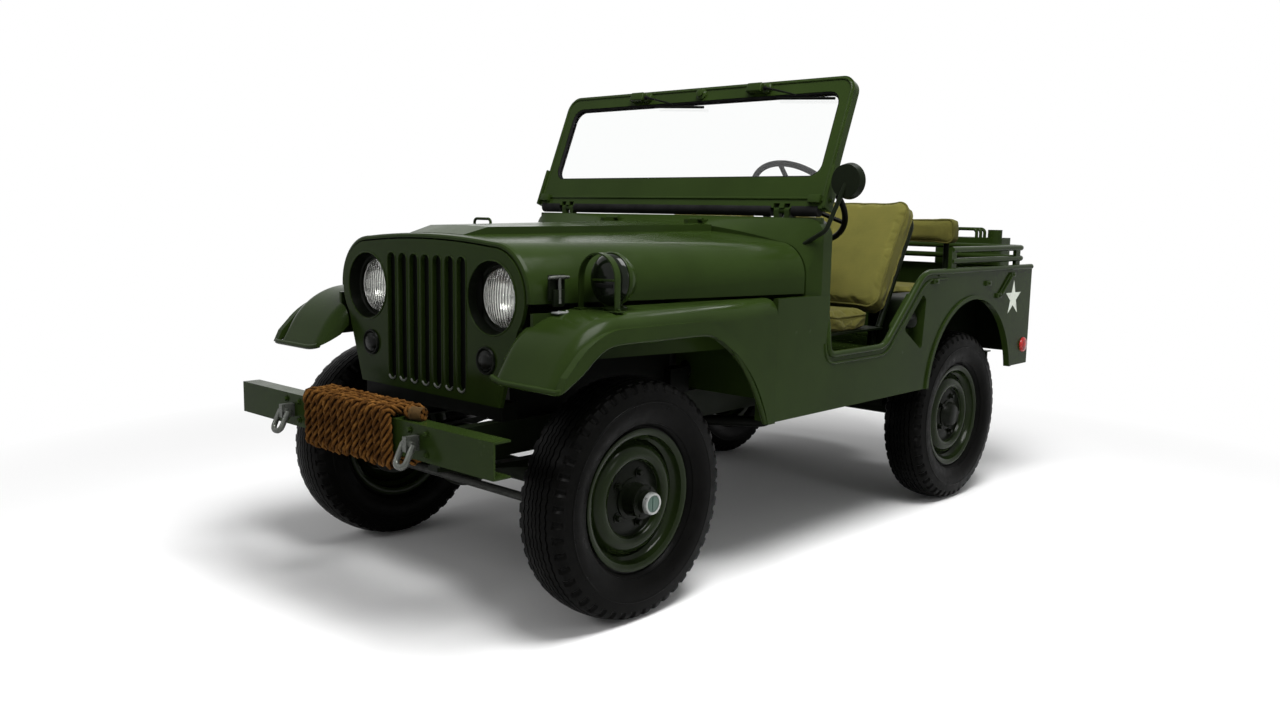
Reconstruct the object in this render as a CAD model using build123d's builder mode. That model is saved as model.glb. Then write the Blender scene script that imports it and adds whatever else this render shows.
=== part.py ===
"""Open army 4x4 car: pressed body, ladder frame, live axles, folding windshield, rope on the bumper.

+X is the car's left, the front faces -Y, +Z is up. The origin is on the ground,
on the centre plane, midway between the axles.
"""
import os
from math import cos, radians, sin

from build123d import *

# Driving dimensions in millimetres
WHEELBASE = 2057
TRACK = 1248
TYRE_R = 374
TYRE_W = 184
CLEAR = 0.3
FRONT_Y = -WHEELBASE / 2
REAR_Y = WHEELBASE / 2
AXLE_Z = TYRE_R
WHEEL_X = TRACK / 2

# Wheels
RIM_R = 222
RIM_HALF_W = 62
SEAT_R = 204
WELL_R = 186
RIM_T = 6
DISC_T = 6
DISC_U = 34
SPINDLE_R = 30
SPINDLE_TIP_U = 24
HUB_R = 60
DRUM_R = 135
DRUM_DEPTH = 66
DRUM_T = 9
BACKING_R = 140
BACKING_T = 5
BACKING_GAP = 6
LUG_CIRCLE_R = 70
LUG_COUNT = 5
LUG_R = 11
LUG_H = 16
FRONT_HUB_TIP_U = 122
REAR_HUB_TIP_U = 66
TREAD_GROOVE_W = 7
TREAD_GROOVE_DEPTH = 8
TREAD_GROOVE_PITCH = 30
TYRE_WALL = 13

# Axles, steering and springs
AXLE_TUBE_R = 38
DIFF_X = -170
DIFF_R = 112
PINION_R = 48
PINION_NOSE = 70
KINGPIN_X = 505
BALL_R = 64
CUP_T = 12
KINGPIN_CAP_R = 30
KINGPIN_CAP_H = 20
STEER_ARM = 160
STEER_ARM_W = 34
STEER_ARM_H = 18
TIE_ROD_R = 14
TIE_ROD_EYE_R = 22
TIE_ROD_PIN_R = 9
SPRING_X = 325
SPRING_W = 44
LEAF_T = 8
LEAF_COUNT = 5
SPRING_HALF = 500
SPRING_Z = AXLE_Z + AXLE_TUBE_R + 14
SPRING_SWEEP = 18

# Frame
RAIL_OUT_X = 365
RAIL_W = 44
RAIL_T = 5
RAIL_BOTTOM = 500
RAIL_TOP = 605
FRAME_FRONT_Y = FRONT_Y - 505
FRAME_REAR_Y = REAR_Y + 585

# Front bumper and rope
BUMPER_HALF = 680
BUMPER_BOTTOM = 530
BUMPER_TOP = 635
BUMPER_DEPTH = 60
BUMPER_T = 6
BUMPER_FRONT_Y = FRAME_FRONT_Y - BUMPER_DEPTH
ROPE_D = 38
ROPE_START_X = -245
ROPE_END_X = 292
ROPE_SAG = 6
SHACKLE_X = RAIL_OUT_X - RAIL_W / 2

# Grille and lamps
GRILLE_FRONT_Y = FRONT_Y - 285
GRILLE_T = 14
GRILLE_CROWN = 16
GRILLE_BOTTOM = 650
GRILLE_FOOT_HALF = 370
SLOT_COUNT = 7
SLOT_PITCH = 62
SLOT_W = 43
SLOT_BOTTOM = 675
SLOT_TOP = 1098
LAMP_X = 330
LAMP_Z = 980
LAMP_CORNER_R = 150
LAMP_BUCKET_R = 112
LAMP_BUCKET_DEPTH = 70
LAMP_RIM_T = 6
LENS_R = 90
LENS_RECESS = 44
LENS_BULGE = 22
MARKER_X = 307
MARKER_Z = 788
MARKER_R = 38
MARKER_OUT = 30

# Tub
BODY_HALF = 750
WALL = 20
INSIDE_HALF = BODY_HALF - WALL

# Hood
HOOD_EDGE_Z = 972
HOOD_T = 14
HOOD_SEAM = 5
HOOD_NOSE_GAP = 4
HOOD_NOSE_ROLL = 7
HOOD_FRONT_Y = GRILLE_FRONT_Y + HOOD_NOSE_GAP
HOOD_REAR_Y = FRONT_Y + 790
HOOD_FRONT_R = LAMP_CORNER_R + HOOD_SEAM + HOOD_T
HOOD_FRONT_HALF = LAMP_X + HOOD_FRONT_R
HOOD_FRONT_TOP = LAMP_Z + HOOD_FRONT_R
HOOD_FRONT_CROWN = GRILLE_CROWN
HOOD_REAR_HALF = BODY_HALF - 28
HOOD_REAR_TOP = 1150
HOOD_REAR_R = 120
HOOD_REAR_CROWN = 38
BULGE_FRONT_HALF = 140
BULGE_REAR_HALF = HOOD_REAR_HALF * 150 / 361
BULGE_H = 24
BULGE_START = 40
BULGE_RAMP = 90
BULGE_LIP = 1
BULGE_SPREAD = 12
HOOD_HINGE_X = HOOD_REAR_HALF * 110 / 361
HOOD_HINGE_R = 7
HOOD_HINGE_W = 60
HOOD_HINGE_Z = HOOD_REAR_TOP + HOOD_REAR_CROWN + BULGE_H + 8
HOOD_HINGE_Y = HOOD_REAR_Y + 7

# Body
SILL_Z = 545
SHOULDER_Z = 964
SEAM_Y = FRONT_Y + 600
COWL_FRONT_Y = HOOD_REAR_Y + 10
COWL_FLAT_Y = FRONT_Y + 860
DOOR_FRONT_Y = FRONT_Y + 915
DOOR_SILL_Z = 745
DOOR_SILL_END_Y = FRONT_Y + 1310
DOOR_RISE_Y = FRONT_Y + 1600
BODY_TOP_Y = FRONT_Y + 1720
BODY_TOP_Z = 1020
BODY_REAR_Y = REAR_Y + 593
ARCH_R = 390
ARCH_Z = 505
ARCH_FLARE_W = 18
ARCH_FLARE_OUT = 8
COWL_TOP = 1236
COWL_CORNER_R = 65
COWL_T = 20
FLOOR_BOTTOM = 615
FLOOR_T = 20
FLOOR_TOP = FLOOR_BOTTOM + FLOOR_T
WHEEL_HOUSE_IN_X = INSIDE_HALF - 250
WHEEL_HOUSE_TOP = 912
WHEEL_HOUSE_FRONT_Y = REAR_Y - 420
FOOTWELL_IN_X = 300
FOOTWELL_TOP = 950
PANEL_T = 12
TUNNEL_X = -15
TUNNEL_HALF = 165
TUNNEL_TOP = 770
TUNNEL_END_Y = FRONT_Y + 1330

# Fenders
FENDER_OUT_X = BODY_HALF + 2
FENDER_T = 16
FENDER_EDGE_R = 56
FENDER_LIP = 40
FENDER_LIP_OUT = 12
FENDER_TOP_REAR = 964
FENDER_TOP_FRONT = 954
FENDER_NOSE_IN_X = 448
APRON_BOTTOM = 800

# Windshield
WS_HINGE_Y = FRONT_Y + 877
WS_HINGE_Z = COWL_TOP + 22
WS_TILT = 22
WS_HALF = BODY_HALF - 12
WS_LENGTH = 515
WS_FOOT = 8
WS_DEPTH = 34
WS_CORNER_R = 60
GLASS_HALF = WS_HALF - 50
GLASS_BOTTOM = 124
GLASS_TOP = 457
GLASS_T = 6
GLASS_CORNER_R = 52
WS_HINGE_X = WS_HALF - 178
WS_HINGE_R = 11
WS_NOTCH_R = 27

# Steering wheel
STEER_X = 345
STEER_Y = FRONT_Y + 1285
STEER_Z = 1290
STEER_TILT = 42
STEER_R = 215
STEER_RIM_R = 12
STEER_HUB_R = 40
COLUMN_R = 22
STEER_BOX_Y = FRONT_Y + 535

# Seats
SEAT_X = BODY_HALF - 340
SEAT_HALF_W = 235
SEAT_FRONT_Y = FRONT_Y + 1095
SEAT_BACK_Y = FRONT_Y + 1495
SEAT_PAN_Z = 800
CUSHION_H = 72
BACK_START = 32
BACK_H = 520
BACK_T = 84
BACK_LEAN = 29
REAR_SEAT_HALF = WHEEL_HOUSE_IN_X - 15
REAR_SEAT_FRONT_Y = REAR_Y - 47
REAR_SEAT_BACK_Y = REAR_Y + 383
REAR_SEAT_DEPTH = REAR_SEAT_BACK_Y - REAR_SEAT_FRONT_Y
REAR_SEAT_Z = 830
REAR_CUSHION_H = 90
REAR_BACK_BOTTOM = 1112
REAR_BACK_TOP = 1248
REAR_BACK_T = 80
SEAT_TUBE_R = 13

# Pressings of the wheels and tyres
WELL_U = 22
SEAT_U = 34
SEAT_DROP = 3
DISC_FOOT_U = 16
RIDGE_OUT_U = 44
RIDGE_OUT_R = 150
RIDGE_U = 50
RIDGE_R = 112
FLAT_R = 88
FLAT_BACK_R = 92
RIDGE_BACK_R = 114
RIDGE_FOOT_U = 36
RIDGE_FOOT_R = 148
SPINDLE_HOLE_R = SPINDLE_R + 10
HUB_NECK = 14
HUB_TIP = 22
HUB_FLANGE = 44
HUB_STEP = 40
HUB_CHAMFER = 6
SHOULDER_IN = 18
SHOULDER_DROP = 10
SHOULDER_OUT = 8
SHOULDER_LOW = 12
BEAD_W = 20
BEAD_NECK = 16
BEAD_RISE = 14
BEAD_LIFT = 4

# Fittings of the running gear
SPRING_PAD_L = 90
SPRING_PAD_W = SPRING_W + 10
SHACKLE_IN = 20
SHACKLE_L = 40
PIN_L = 34
PIN_DROP = 16
HUB_BACK = 20
HUB_INSET = 8
PAD_L = 70
EYE_LUG_W = 18
EYE_LUG_H = 44
LUG_EYE = 14

# Fittings of the body
THROUGH = 1400
ARCH_RAIL_H = 16
ARCH_RAIL_LAP = 8
TUNNEL_SLOPE = 70
HOUSE_CORNER_R = 60

# Fittings of the seats, bows and mirror
PAN_INSET = 20
LEG_INSET = 80
LEG_SETBACK = 60
HOOP_R = 60
REAR_POST_INSET = 60
REAR_POST_DROP = 40
REAR_CUSHION_GAP = 40
REAR_BACK_SPREAD = 50
REAR_BACK_R = 40
BOW_CORNER_R = 60
BOW_POST_W = 16
BOW_POST_L = 44
MIRROR_BEND_R = 30
MIRROR_SHELL = 10
MIRROR_TAPER = 12
MARKER_TAPER = 12
HOOD_LOOP_BEND_R = 14

# Fittings of the rear: can, carriers, lamps, bumperettes and hook
CAN_CORNER_R = 40
CAN_GRIP_PITCH = 45
CAN_GRIP_LEFT = 110
CAN_GRIP_RIGHT = 40
CAN_GRIP_SINK = 5
CAN_GRIP_R = 20
SPOUT_X = 115
SPOUT_RISE = 15
SPOUT_R = 34
SPOUT_H = 46
CARRIER_LAP = 20
CARRIER_H = 280
CARRIER_UP = 90
CARRIER_LIP = 60
CARRIER_LIP_UP = 20
SPARE_BOSS_T = 12
SPARE_BOSS_R = 110
SPARE_POST_R = 60
TAIL_OUT = 46
TAIL_TAPER = 6
BUMPERETTE_D = 40
HOOK_PLATE_W = 100
HOOK_PLATE_H = 90
HOOK_PLATE_T = 14
HOOK_R = 42
HOOK_HOLE_R = 23
HOOK_NECK = 44
HOOK_W = 32
HOOK_BACK = 40

# Fittings of the drive
ENGINE_CHAMFER = 40
FAN_Z = 860
FAN_BLADE_L = 190
FAN_BLADE_W = 60
FAN_T = 12
FAN_HUB_R = 60
FAN_HUB_T = 10
TRANSFER_SHIFT = 30
TRANSFER_Z = 510
TRANSFER_W = 180
TRANSFER_H = 180
GEARBOX_EDGE_R = 24
PIPE_START = 630
PIPE_HIGH = 640
PIPE_LOW = 455
PIPE_X = 235
PIPE_DOWN = 790
PIPE_TURN = 960
PIPE_BEND_R = 45
PIPE_LAP = 20
HANGER_INSET = 60
HANGER_DROP = 15
HANGER_W = 20
HANGER_L = 30
LEVER_LEAN = 60
LEVER_KNOB_R = 18

# Places worked out from the sizes above, and sizes of details
CORNERS = (
    # name, side, axle y, hub tip
    ("fl", 1, FRONT_Y, FRONT_HUB_TIP_U),
    ("fr", -1, FRONT_Y, FRONT_HUB_TIP_U),
    ("rl", 1, REAR_Y, REAR_HUB_TIP_U),
    ("rr", -1, REAR_Y, REAR_HUB_TIP_U),
)
BACKING_U = DISC_U - DISC_T - DRUM_DEPTH - BACKING_GAP - BACKING_T
CUP_R = BALL_R + CLEAR + CUP_T
CUP_LIP = 4
ARM_ROOT = BALL_R + CLEAR + 3
ARM_ROOT_W = 56
ARM_ROOT_L = 34
TIE_ROD_Z = AXLE_Z - STEER_ARM_H / 2 - 6 - TIE_ROD_R
CROSS_MEMBERS = (
    # distance behind the front axle, bottom, top, depth
    (-400, 520, 575, 50),
    (100, 505, 560, 60),
    (600, 505, 560, 60),
    (980, 505, 560, 60),
    (WHEELBASE - 407, 520, 590, 60),
    (WHEELBASE + 343, 520, 590, 60),
    (WHEELBASE + 560, RAIL_BOTTOM, RAIL_TOP, 50),
)
BODY_PADS = (860, 1560, WHEELBASE + 143, WHEELBASE + 503)
SHACKLE_Z = (BUMPER_BOTTOM + BUMPER_TOP) / 2
SHACKLE_LUG = 46
SHACKLE_BAR_R = 9
SHACKLE_DROP = 62
SHACKLE_HALF = 24
ROPE_BOTTOM = BUMPER_BOTTOM - ROPE_SAG
ROPE_TOP = BUMPER_TOP + CLEAR
GRILLE_TURN = -38
RADIATOR_HALF = 205
RADIATOR_TOP = 1100
RADIATOR_BOTTOM = 660
RADIATOR_DEPTH = 62
FRONT_HOOD = (HOOD_FRONT_HALF, HOOD_FRONT_TOP, HOOD_FRONT_R, HOOD_FRONT_CROWN)
REAR_HOOD = (HOOD_REAR_HALF, HOOD_REAR_TOP, HOOD_REAR_R, HOOD_REAR_CROWN)
HOOD_LENGTH = HOOD_REAR_Y - HOOD_FRONT_Y
HOOD_STATIONS = (
    # y, how far the outside is drawn in
    (HOOD_FRONT_Y, HOOD_NOSE_ROLL),
    (HOOD_FRONT_Y + HOOD_NOSE_ROLL / 2, HOOD_NOSE_ROLL / 4),
    (HOOD_FRONT_Y + 2 * HOOD_NOSE_ROLL, 0),
    (HOOD_REAR_Y, 0),
)
HOOD_PIN_R = 4
HINGE_LEAF = 60
HOOD_LOOP_X = -200
HOOD_LOOP_Y = FRONT_Y + 110
HOOD_LOOP_HALF = 45
HOOD_LOOP_H = 42
HOOD_LOOP_R = 5
FENDER_REAR = 597
FENDER_CREST = -280
FENDER_TIP = -402
FENDER_TIP_Z = 756
FENDER_NOSE_R = 265
FENDER_INSIDE_X = FENDER_OUT_X - FENDER_T
FENDER_ARCH_Z = 876
FENDER_ARCH_REAR = 215
FENDER_ARCH_FOOT = 545
FENDER_ARCH_FRONT = -165
FENDER_ARCH_SWELL = (411, 760)
FENDER_ARCH_LEAD = (-318, 803)
FENDER_ARCH_LEAD_MID = (-250, 856)
HOOD_SIDE_GAP = 3
FENDER_DROP = 10
BLACKOUT_X = 632
BLACKOUT_BEHIND = -60
BLACKOUT_R = 80
BLACKOUT_Z = 1045
BLACKOUT_DEPTH = 90
BLACKOUT_STEM_R = 20
BLACKOUT_PAD_R = 36
BLACKOUT_PAD_T = 8
GUARD_AHEAD = 95
GUARD_HALF = 76
GUARD_T = 5
GUARD_W = 24
GUARD_SINK = 14
COWL_FRONT = (HOOD_REAR_HALF, HOOD_REAR_TOP, HOOD_REAR_R, HOOD_REAR_CROWN + BULGE_H)
COWL_REAR = (BODY_HALF - 2, COWL_TOP - 4, COWL_CORNER_R, 4)
FIREWALL_Y = COWL_FRONT_Y + 8
FOOTWELL_FRONT_Y = FRONT_Y + 605
COLUMN_DIR = Vector(0, -cos(radians(STEER_TILT)), -sin(radians(STEER_TILT)))
STEER_CENTRE = Vector(STEER_X, STEER_Y, STEER_Z)
COLUMN_PLANE = Plane(origin=STEER_CENTRE, x_dir=(1, 0, 0), z_dir=COLUMN_DIR)
COLUMN_HOLE_R = COLUMN_R + 6
DASH_Y = DOOR_FRONT_Y - 30
DASH_BASE = 1000
REAR_FOOT_Z = 564
ARCH_START = (ARCH_R ** 2 - (SILL_Z - ARCH_Z) ** 2) ** 0.5
ARCH_END = (ARCH_R ** 2 - (REAR_FOOT_Z - ARCH_Z) ** 2) ** 0.5
ARCH_POINTS = ((REAR_Y + ARCH_END, REAR_FOOT_Z), (REAR_Y, ARCH_Z + ARCH_R), (REAR_Y - ARCH_START, SILL_Z))
DOOR_CORNERS = (
    # y, z and radius of each corner of the tub's edge
    (DOOR_FRONT_Y, DOOR_SILL_Z, 26),
    (DOOR_SILL_END_Y, DOOR_SILL_Z, 110),
    (DOOR_RISE_Y, BODY_TOP_Z, 150),
)
FILLER_CORNERS = ((572, 936), (598, 912), (578, 708), (428, 802))
FILLER_R = 14
FILLER_DEPTH = 70
FILLER_T = 5
REAR_PANEL_Y = BODY_REAR_Y - WALL
FLOOR_FRONT_Y = FIREWALL_Y + PANEL_T
WS_PLANE = Plane(
    origin=(0, WS_HINGE_Y, WS_HINGE_Z),
    x_dir=(1, 0, 0),
    z_dir=(0, -cos(radians(WS_TILT)), sin(radians(WS_TILT))),
)
GLASS_MID = (GLASS_BOTTOM + GLASS_TOP) / 2
SHAFT_R = 10
HUB_HALF = 22
SPOKE_W = 16
SPOKE_T = 10
COLUMN_LENGTH = (STEER_Y - STEER_BOX_Y) / cos(radians(STEER_TILT))
COLUMN_SHORT = 40
STEER_BOX = (70, 100, 90)
PAN_T = 8
LEG_R = 14
CUSHION_GAP = 10
CUSHION_CORNER_R = 50
CUSHION_EDGE_R = 28
BACK_CORNER_R = 62
BACK_DEPTH = (SEAT_TUBE_R + CLEAR + BACK_T) * cos(radians(BACK_LEAN)) - BACK_START * sin(radians(BACK_LEAN))
CUSHION_REAR_Y = SEAT_BACK_Y - BACK_DEPTH - CUSHION_GAP
BACK_RISE = BACK_START + BACK_H - 40
SEAT_ROWS = (
    # name, middle x, half width
    ("driver", SEAT_X, SEAT_HALF_W),
    ("passenger", -SEAT_X, SEAT_HALF_W),
)
BOW_R = 13
BOW_X = BODY_HALF - 15
BOW_FRONT_Y = BODY_REAR_Y - 796
BOW_REAR_Y = BODY_REAR_Y - 60
BOW_LEVELS = (1062, 1110)
BOW_POST_YS = (BOW_FRONT_Y + 10, BOW_REAR_Y - 90)
MIRROR_R = 63
MIRROR_T = 18
MIRROR_POINT = (BODY_HALF + 70, FRONT_Y + 879, 1362)
MIRROR_ELBOW = (BODY_HALF + 28, FRONT_Y + 826, 1192)
MIRROR_FOOT = (BODY_HALF - 62, FRONT_Y + 822, 1140)
ARM_R = 8
CAN_X = BODY_HALF - 350
CAN_W = 345
CAN_D = 165
CAN_BOTTOM = 720
CAN_TOP = 1150
CAN_HANDLE_H = 40
CARRIER_T = 8
CAN_Y = BODY_REAR_Y + CARRIER_T + CLEAR + CAN_D / 2
SPARE_X = 420 - BODY_HALF
SPARE_Z = 800
SPARE_Y = BODY_REAR_Y + 30 + TYRE_W / 2
TAIL_X = BODY_HALF - 60
TAIL_Z = 985
TAIL_R = 34
BUMPERETTE_X = 470
BUMPERETTE_HALF = 105
PINTLE_Z = 552
PINTLE_LENGTH = 120
ENGINE_X = 20
ENGINE_HALF = 140
ENGINE_FRONT = 20
ENGINE_REAR = 690
SUMP_Z = 560
ENGINE_TOP = 1000
GEARBOX_X = -15
GEARBOX_HALF = 115
GEARBOX_TOP = 735
TRANSFER_FRONT = 1030
TRANSFER_REAR = 1230
SHAFT_HIGH = 470
PROP_R = 26
PIPE_R = 21
MUFFLER_R = 58
MUFFLER_X = 450
MUFFLER_Z = FLOOR_BOTTOM - MUFFLER_R - 10
MUFFLER_FRONT = 1180
MUFFLER_REAR = 1580
LEVERS = (
    # distance behind the front axle, sideways shift, height over the tunnel
    (1000, 0, 330),
    (1130, -70, 250),
    (1130, -110, 250),
)

SIDES = (("left", 1), ("right", -1))
HANGS = (Align.CENTER, Align.CENTER, Align.MAX)
STANDS = (Align.CENTER, Align.CENTER, Align.MIN)
pieces = {}


def cross_plane(y):
    """A plane across the car at y, with local X to the left and local Y up."""
    return Plane(origin=(0, y, 0), x_dir=(1, 0, 0), z_dir=(0, -1, 0))


def side_plane(x):
    """A plane along the car at x, with local X rearward and local Y up."""
    return Plane(origin=(x, 0, 0), x_dir=(0, 1, 0), z_dir=(1, 0, 0))


def hub_plane(side, y, z=AXLE_Z, x=WHEEL_X):
    """A wheel's plane: local X outboard from the tyre's middle, local Y up."""
    return Plane(origin=(side * x, y, z), x_dir=(side, 0, 0), z_dir=(0, -side, 0))


def wheel_disc_plane(side, y, u, z=AXLE_Z, x=WHEEL_X):
    """A plane facing outboard, u outside the tyre's middle."""
    return Plane(origin=(side * (x + u), y, z), x_dir=(0, side, 0), z_dir=(side, 0, 0))


def rim_section(plane):
    """Half of the rolled rim and the dished disc, in the wheel's own plane."""
    with BuildSketch(plane) as section:
        with BuildLine():
            Polyline(
                (0, WELL_R),
                (WELL_U, WELL_R),
                (SEAT_U, SEAT_R - SEAT_DROP),
                (RIM_HALF_W - RIM_T, SEAT_R),
                (RIM_HALF_W - RIM_T, RIM_R),
                (RIM_HALF_W, RIM_R),
                (RIM_HALF_W, SEAT_R - RIM_T),
                (SEAT_U + 2, SEAT_R - SEAT_DROP - RIM_T),
                (WELL_U + 4, WELL_R - RIM_T),
                (0, WELL_R - RIM_T),
                close=True,
            )
        make_face()
        mirror(about=Plane.YZ)
        with BuildLine():
            Polyline(
                (2, WELL_R - 3),
                (DISC_FOOT_U, WELL_R - SEAT_DROP),
                (RIDGE_OUT_U, RIDGE_OUT_R),
                (RIDGE_U, RIDGE_R),
                (DISC_U, FLAT_R),
                (DISC_U, SPINDLE_HOLE_R),
                (DISC_U - DISC_T, SPINDLE_HOLE_R),
                (DISC_U - DISC_T, FLAT_BACK_R),
                (RIDGE_U - DISC_T, RIDGE_BACK_R),
                (RIDGE_FOOT_U, RIDGE_FOOT_R),
                close=True,
            )
        make_face()
    return section.sketch


def hub_section(plane, tip):
    """The brake drum, the bearing hub and the stepped hub end, in the wheel's own plane."""
    drum_in = DISC_U - DISC_T - DRUM_DEPTH
    drum_out = DISC_U - DISC_T
    bore = SPINDLE_R + CLEAR
    with BuildSketch(plane) as section:
        with BuildLine():
            Polyline(
                (drum_in, DRUM_R),
                (drum_out, DRUM_R),
                (drum_out, HUB_R - 6),
                (tip - HUB_FLANGE, HUB_R - HUB_CHAMFER),
                (tip - HUB_STEP, HUB_R - HUB_NECK),
                (tip - HUB_CHAMFER, HUB_R - HUB_NECK),
                (tip, HUB_R - HUB_TIP),
                (tip, 0),
                (SPINDLE_TIP_U + 4, 0),
                (SPINDLE_TIP_U + 4, bore),
                (drum_in, bore),
                (drum_in, HUB_R),
                (drum_out - DRUM_T, HUB_R),
                (drum_out - DRUM_T, DRUM_R - DRUM_T),
                (drum_in, DRUM_R - DRUM_T),
                close=True,
            )
        make_face()
    return section.sketch


def tyre_section(plane):
    """The hollow tyre from bead to bead."""
    bead_u = RIM_HALF_W - RIM_T
    bead_r = SEAT_R + CLEAR
    bulge_r = (TYRE_R + RIM_R) / 2 - 8
    shoulder_u = TYRE_W / 2 - SHOULDER_IN
    shoulder_r = TYRE_R - SHOULDER_DROP
    shoulder_foot = (shoulder_u + SHOULDER_OUT, shoulder_r - SHOULDER_LOW)
    with BuildSketch(plane) as section:
        with BuildLine():
            Line((bead_u - BEAD_W, bead_r), (bead_u - CLEAR, bead_r))
            Line((bead_u - CLEAR, bead_r), (bead_u - CLEAR, RIM_R + BEAD_LIFT))
            ThreePointArc((bead_u - CLEAR, RIM_R + BEAD_LIFT), (TYRE_W / 2, bulge_r), shoulder_foot)
            Line(shoulder_foot, (shoulder_u, shoulder_r))
            ThreePointArc((shoulder_u, shoulder_r), (shoulder_u / 2, TYRE_R - 2.5), (0, TYRE_R))
            Line((0, TYRE_R), (0, TYRE_R - TYRE_WALL - 4))
            Line((0, TYRE_R - TYRE_WALL - 4), (shoulder_u - 8, shoulder_r - TYRE_WALL - 6))
            ThreePointArc(
                (shoulder_u - 8, shoulder_r - TYRE_WALL - 6),
                (TYRE_W / 2 - TYRE_WALL, bulge_r),
                (bead_u - BEAD_NECK, RIM_R + BEAD_RISE),
            )
            Line((bead_u - BEAD_NECK, RIM_R + BEAD_RISE), (bead_u - BEAD_W, bead_r))
        make_face()
        mirror(about=Plane.YZ)
    return section.sketch


def build_wheel(side, y, hub_tip):
    """One wheel body's rim, disc, drum and hub, with its lug nuts."""
    spin = Axis((side * WHEEL_X, y, AXLE_Z), (side, 0, 0))
    plane = hub_plane(side, y)
    with BuildPart() as wheel:
        revolve(rim_section(plane), axis=spin)
        revolve(hub_section(plane, hub_tip), axis=spin)
        with BuildSketch(wheel_disc_plane(side, y, DISC_U - 1)):
            with PolarLocations(LUG_CIRCLE_R, LUG_COUNT):
                RegularPolygon(LUG_R, 6)
        extrude(amount=LUG_H)
    return wheel.part


def build_tyre(plane, spin):
    """One tyre with its circumferential tread grooves."""
    with BuildPart() as tyre:
        revolve(tyre_section(plane), axis=spin)
        with BuildSketch(plane):
            for step in (-1.5, -0.5, 0.5, 1.5):
                with Locations((step * TREAD_GROOVE_PITCH, TYRE_R)):
                    Rectangle(TREAD_GROOVE_W, 2 * TREAD_GROOVE_DEPTH)
        revolve(axis=spin, mode=Mode.SUBTRACT)
    return tyre.part


# Wheels and tyres
for corner, side, axle_y, hub_tip in CORNERS:
    pieces[f"wheel_{corner}"] = build_wheel(side, axle_y, hub_tip)
    spin_axis = Axis((side * WHEEL_X, axle_y, AXLE_Z), (side, 0, 0))
    pieces[f"tyre_{corner}"] = build_tyre(hub_plane(side, axle_y), spin_axis)


# Axles


def spindle_section(plane):
    """A stub spindle and the brake's backing plate, in the wheel's own plane."""
    with BuildSketch(plane) as section:
        with BuildLine():
            Polyline(
                (BACKING_U - HUB_BACK, 0),
                (BACKING_U - HUB_BACK, HUB_R - HUB_INSET),
                (BACKING_U, HUB_R - 8),
                (BACKING_U, BACKING_R),
                (BACKING_U + BACKING_T, BACKING_R),
                (BACKING_U + BACKING_T, SPINDLE_R),
                (SPINDLE_TIP_U, SPINDLE_R),
                (SPINDLE_TIP_U, 0),
                close=True,
            )
        make_face()
    return section.sketch


def axle_housing(y, tube_half, pinion_sign):
    """The axle's tube, its round differential and the pinion's nose."""
    with BuildPart() as housing:
        with BuildSketch(side_plane(-tube_half)):
            with Locations((y, AXLE_Z)):
                Circle(AXLE_TUBE_R)
        extrude(amount=2 * tube_half)
        with Locations((DIFF_X, y, AXLE_Z)):
            Sphere(DIFF_R)
        with BuildSketch(cross_plane(y + pinion_sign * DIFF_R * 0.8)):
            with Locations((DIFF_X, AXLE_Z)):
                Circle(PINION_R)
        extrude(amount=-pinion_sign * PINION_NOSE)
        for _, side in SIDES:
            with Locations((side * SPRING_X, y, (AXLE_Z + SPRING_Z) / 2)):
                Box(SPRING_PAD_W, SPRING_PAD_L, SPRING_Z - AXLE_Z)
    return housing.part


def ball_axle_section():
    """The front axle's tube between its two steering balls, swelling round the differential."""
    ball_end = KINGPIN_X + BALL_R
    ball_root = KINGPIN_X - (BALL_R ** 2 - AXLE_TUBE_R ** 2) ** 0.5
    diff_root = (DIFF_R ** 2 - AXLE_TUBE_R ** 2) ** 0.5
    with BuildSketch(Plane(origin=(0, FRONT_Y, AXLE_Z), x_dir=(1, 0, 0), z_dir=(0, -1, 0))) as section:
        with BuildLine():
            Line((ball_end, 0), (-ball_end, 0))
            ThreePointArc((-ball_end, 0), (-KINGPIN_X, BALL_R), (-ball_root, AXLE_TUBE_R))
            Line((-ball_root, AXLE_TUBE_R), (DIFF_X - diff_root, AXLE_TUBE_R))
            ThreePointArc((DIFF_X - diff_root, AXLE_TUBE_R), (DIFF_X, DIFF_R), (DIFF_X + diff_root, AXLE_TUBE_R))
            Line((DIFF_X + diff_root, AXLE_TUBE_R), (ball_root, AXLE_TUBE_R))
            ThreePointArc((ball_root, AXLE_TUBE_R), (KINGPIN_X, BALL_R), (ball_end, 0))
        make_face()
    return section.sketch


with BuildPart() as front_axle:
    revolve(ball_axle_section(), axis=Axis((0, FRONT_Y, AXLE_Z), (1, 0, 0)))
    with BuildSketch(cross_plane(FRONT_Y + DIFF_R * 0.8)):
        with Locations((DIFF_X, AXLE_Z)):
            Circle(PINION_R)
    extrude(amount=-PINION_NOSE)
    for _, side in SIDES:
        with Locations((side * SPRING_X, FRONT_Y, (AXLE_Z + SPRING_Z) / 2)):
            Box(SPRING_PAD_W, SPRING_PAD_L, SPRING_Z - AXLE_Z)
pieces["front_axle"] = front_axle.part

rear_housing = axle_housing(REAR_Y, WHEEL_X + BACKING_U - HUB_BACK / 2, -1)
with BuildPart() as rear_axle:
    add(rear_housing)
    for _, side in SIDES:
        spindle_axis = Axis((side * WHEEL_X, REAR_Y, AXLE_Z), (side, 0, 0))
        revolve(spindle_section(hub_plane(side, REAR_Y)), axis=spindle_axis)
pieces["rear_axle"] = rear_axle.part

# Steering knuckles and tie rod


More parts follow.
